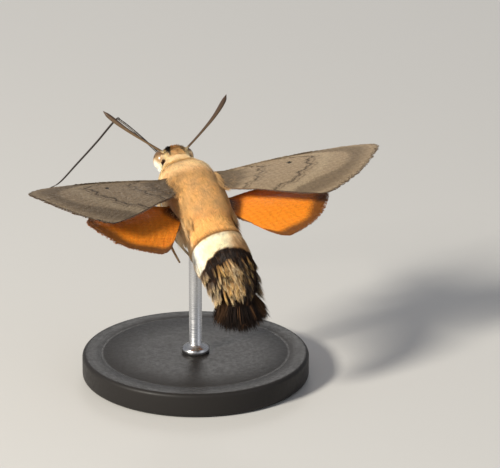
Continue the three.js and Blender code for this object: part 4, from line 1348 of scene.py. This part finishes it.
def make_rod():
    """A steel rod, brushed along its length, with a stepped foot."""
    steel = {"Metallic": 1.0, "Base Color": (0.55, 0.55, 0.56, 1)}
    material, tree, shader = new_material("stand_steel", 0.3, 0.5, steel)
    brushed = noise(tree, 300, stretch=(1, 1, 30))
    tree.links.new(ranged(tree, brushed, 0.2, 0.4), shader.inputs["Roughness"])
    low, high, on_axis = BASE_THICKNESS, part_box("stand_rod")[1][2] / MM + 0.6, 0.001
    foot = [(1.7, low), (1.7, low + 0.5), (1.45, low + 0.8), (0.95, low + 1.0)]
    rod = [(ROD_RADIUS, low + 1.2), (ROD_RADIUS, high - 2.0), (ROD_RADIUS, high)]
    lathe("stand_rod_finish", [(on_axis, low), *foot, *rod, (on_axis, high)], material, "stand_rod", 48)


make_base()
make_rod()


# Floor, light and camera

def make_stage():
    material, *_ = new_material("floor", 0.85, 0.2, {"Base Color": (0.54, 0.53, 0.515, 1)})
    half, under = 3, -0.0001
    corners = [(-half, -half, under), (half, -half, under), (half, half, under), (-half, half, under)]
    mesh = bpy.data.meshes.new("floor")
    mesh.from_pydata(corners, [], [(0, 1, 2, 3)])
    mesh.materials.append(material)
    new_object("floor", mesh)
    world = bpy.data.worlds.new("studio")
    bpy.context.scene.world = world
    world.use_nodes = True
    set_inputs(world.node_tree.nodes["Background"], {"Color": (0.9, 0.93, 1.0, 1), "Strength": 0.34})


def aim(made, at, way):
    made.location = at
    made.rotation_mode = "QUATERNION"
    made.rotation_quaternion = way.to_track_quat("-Z", "Y")


def lamp(name, at, size, power, colour):
    light = bpy.data.lights.new(name, "AREA")
    light.shape, light.size, light.energy, light.color = "DISK", size, power, colour
    aim(new_object(name, light), at, Vector((0, 0, 0.02)) - Vector(at))


AZIMUTH, ELEVATION, DISTANCE = math.radians(-22.7), math.radians(20.6), 0.56
PICTURE_WIDTH, FIELD_WIDTH, SENSOR_WIDTH = 500, 0.061, 36
# Where the thorax's centre falls in the picture, in pixels left of the picture's centre and above it
THORAX_LEFT, THORAX_ABOVE = 55, 34.5


def make_camera():
    """The photo's viewing angle, and its place and size of the moth in the picture."""
    level = math.cos(ELEVATION)
    back = Vector((math.sin(AZIMUTH) * level, -math.cos(AZIMUTH) * level, math.sin(ELEVATION)))
    right = Vector((math.cos(AZIMUTH), math.sin(AZIMUTH), 0))
    pixel = FIELD_WIDTH / PICTURE_WIDTH
    thorax = Vector((0, 0, FLIGHT_HEIGHT * MM))
    target = thorax + right * (THORAX_LEFT * pixel) - back.cross(right) * (THORAX_ABOVE * pixel)
    data = bpy.data.cameras.new("camera")
    data.sensor_width = SENSOR_WIDTH
    data.lens = SENSOR_WIDTH * DISTANCE / FIELD_WIDTH
    data.clip_start, data.clip_end = 0.01, 10
    camera = new_object("camera", data)
    aim(camera, target + back * DISTANCE, -back)
    bpy.context.scene.camera = camera


make_stage()
lamp("key", (-0.5, -0.16, 0.32), 0.12, 6.1, (1.0, 0.95, 0.84))
lamp("fill", (0.35, -0.5, 0.25), 0.5, 0.4, (0.92, 0.95, 1.0))
lamp("rim", (0.2, 0.45, 0.3), 0.2, 0.6, (1.0, 0.98, 0.95))
make_camera()
bpy.context.scene.view_settings.view_transform = "Standard"
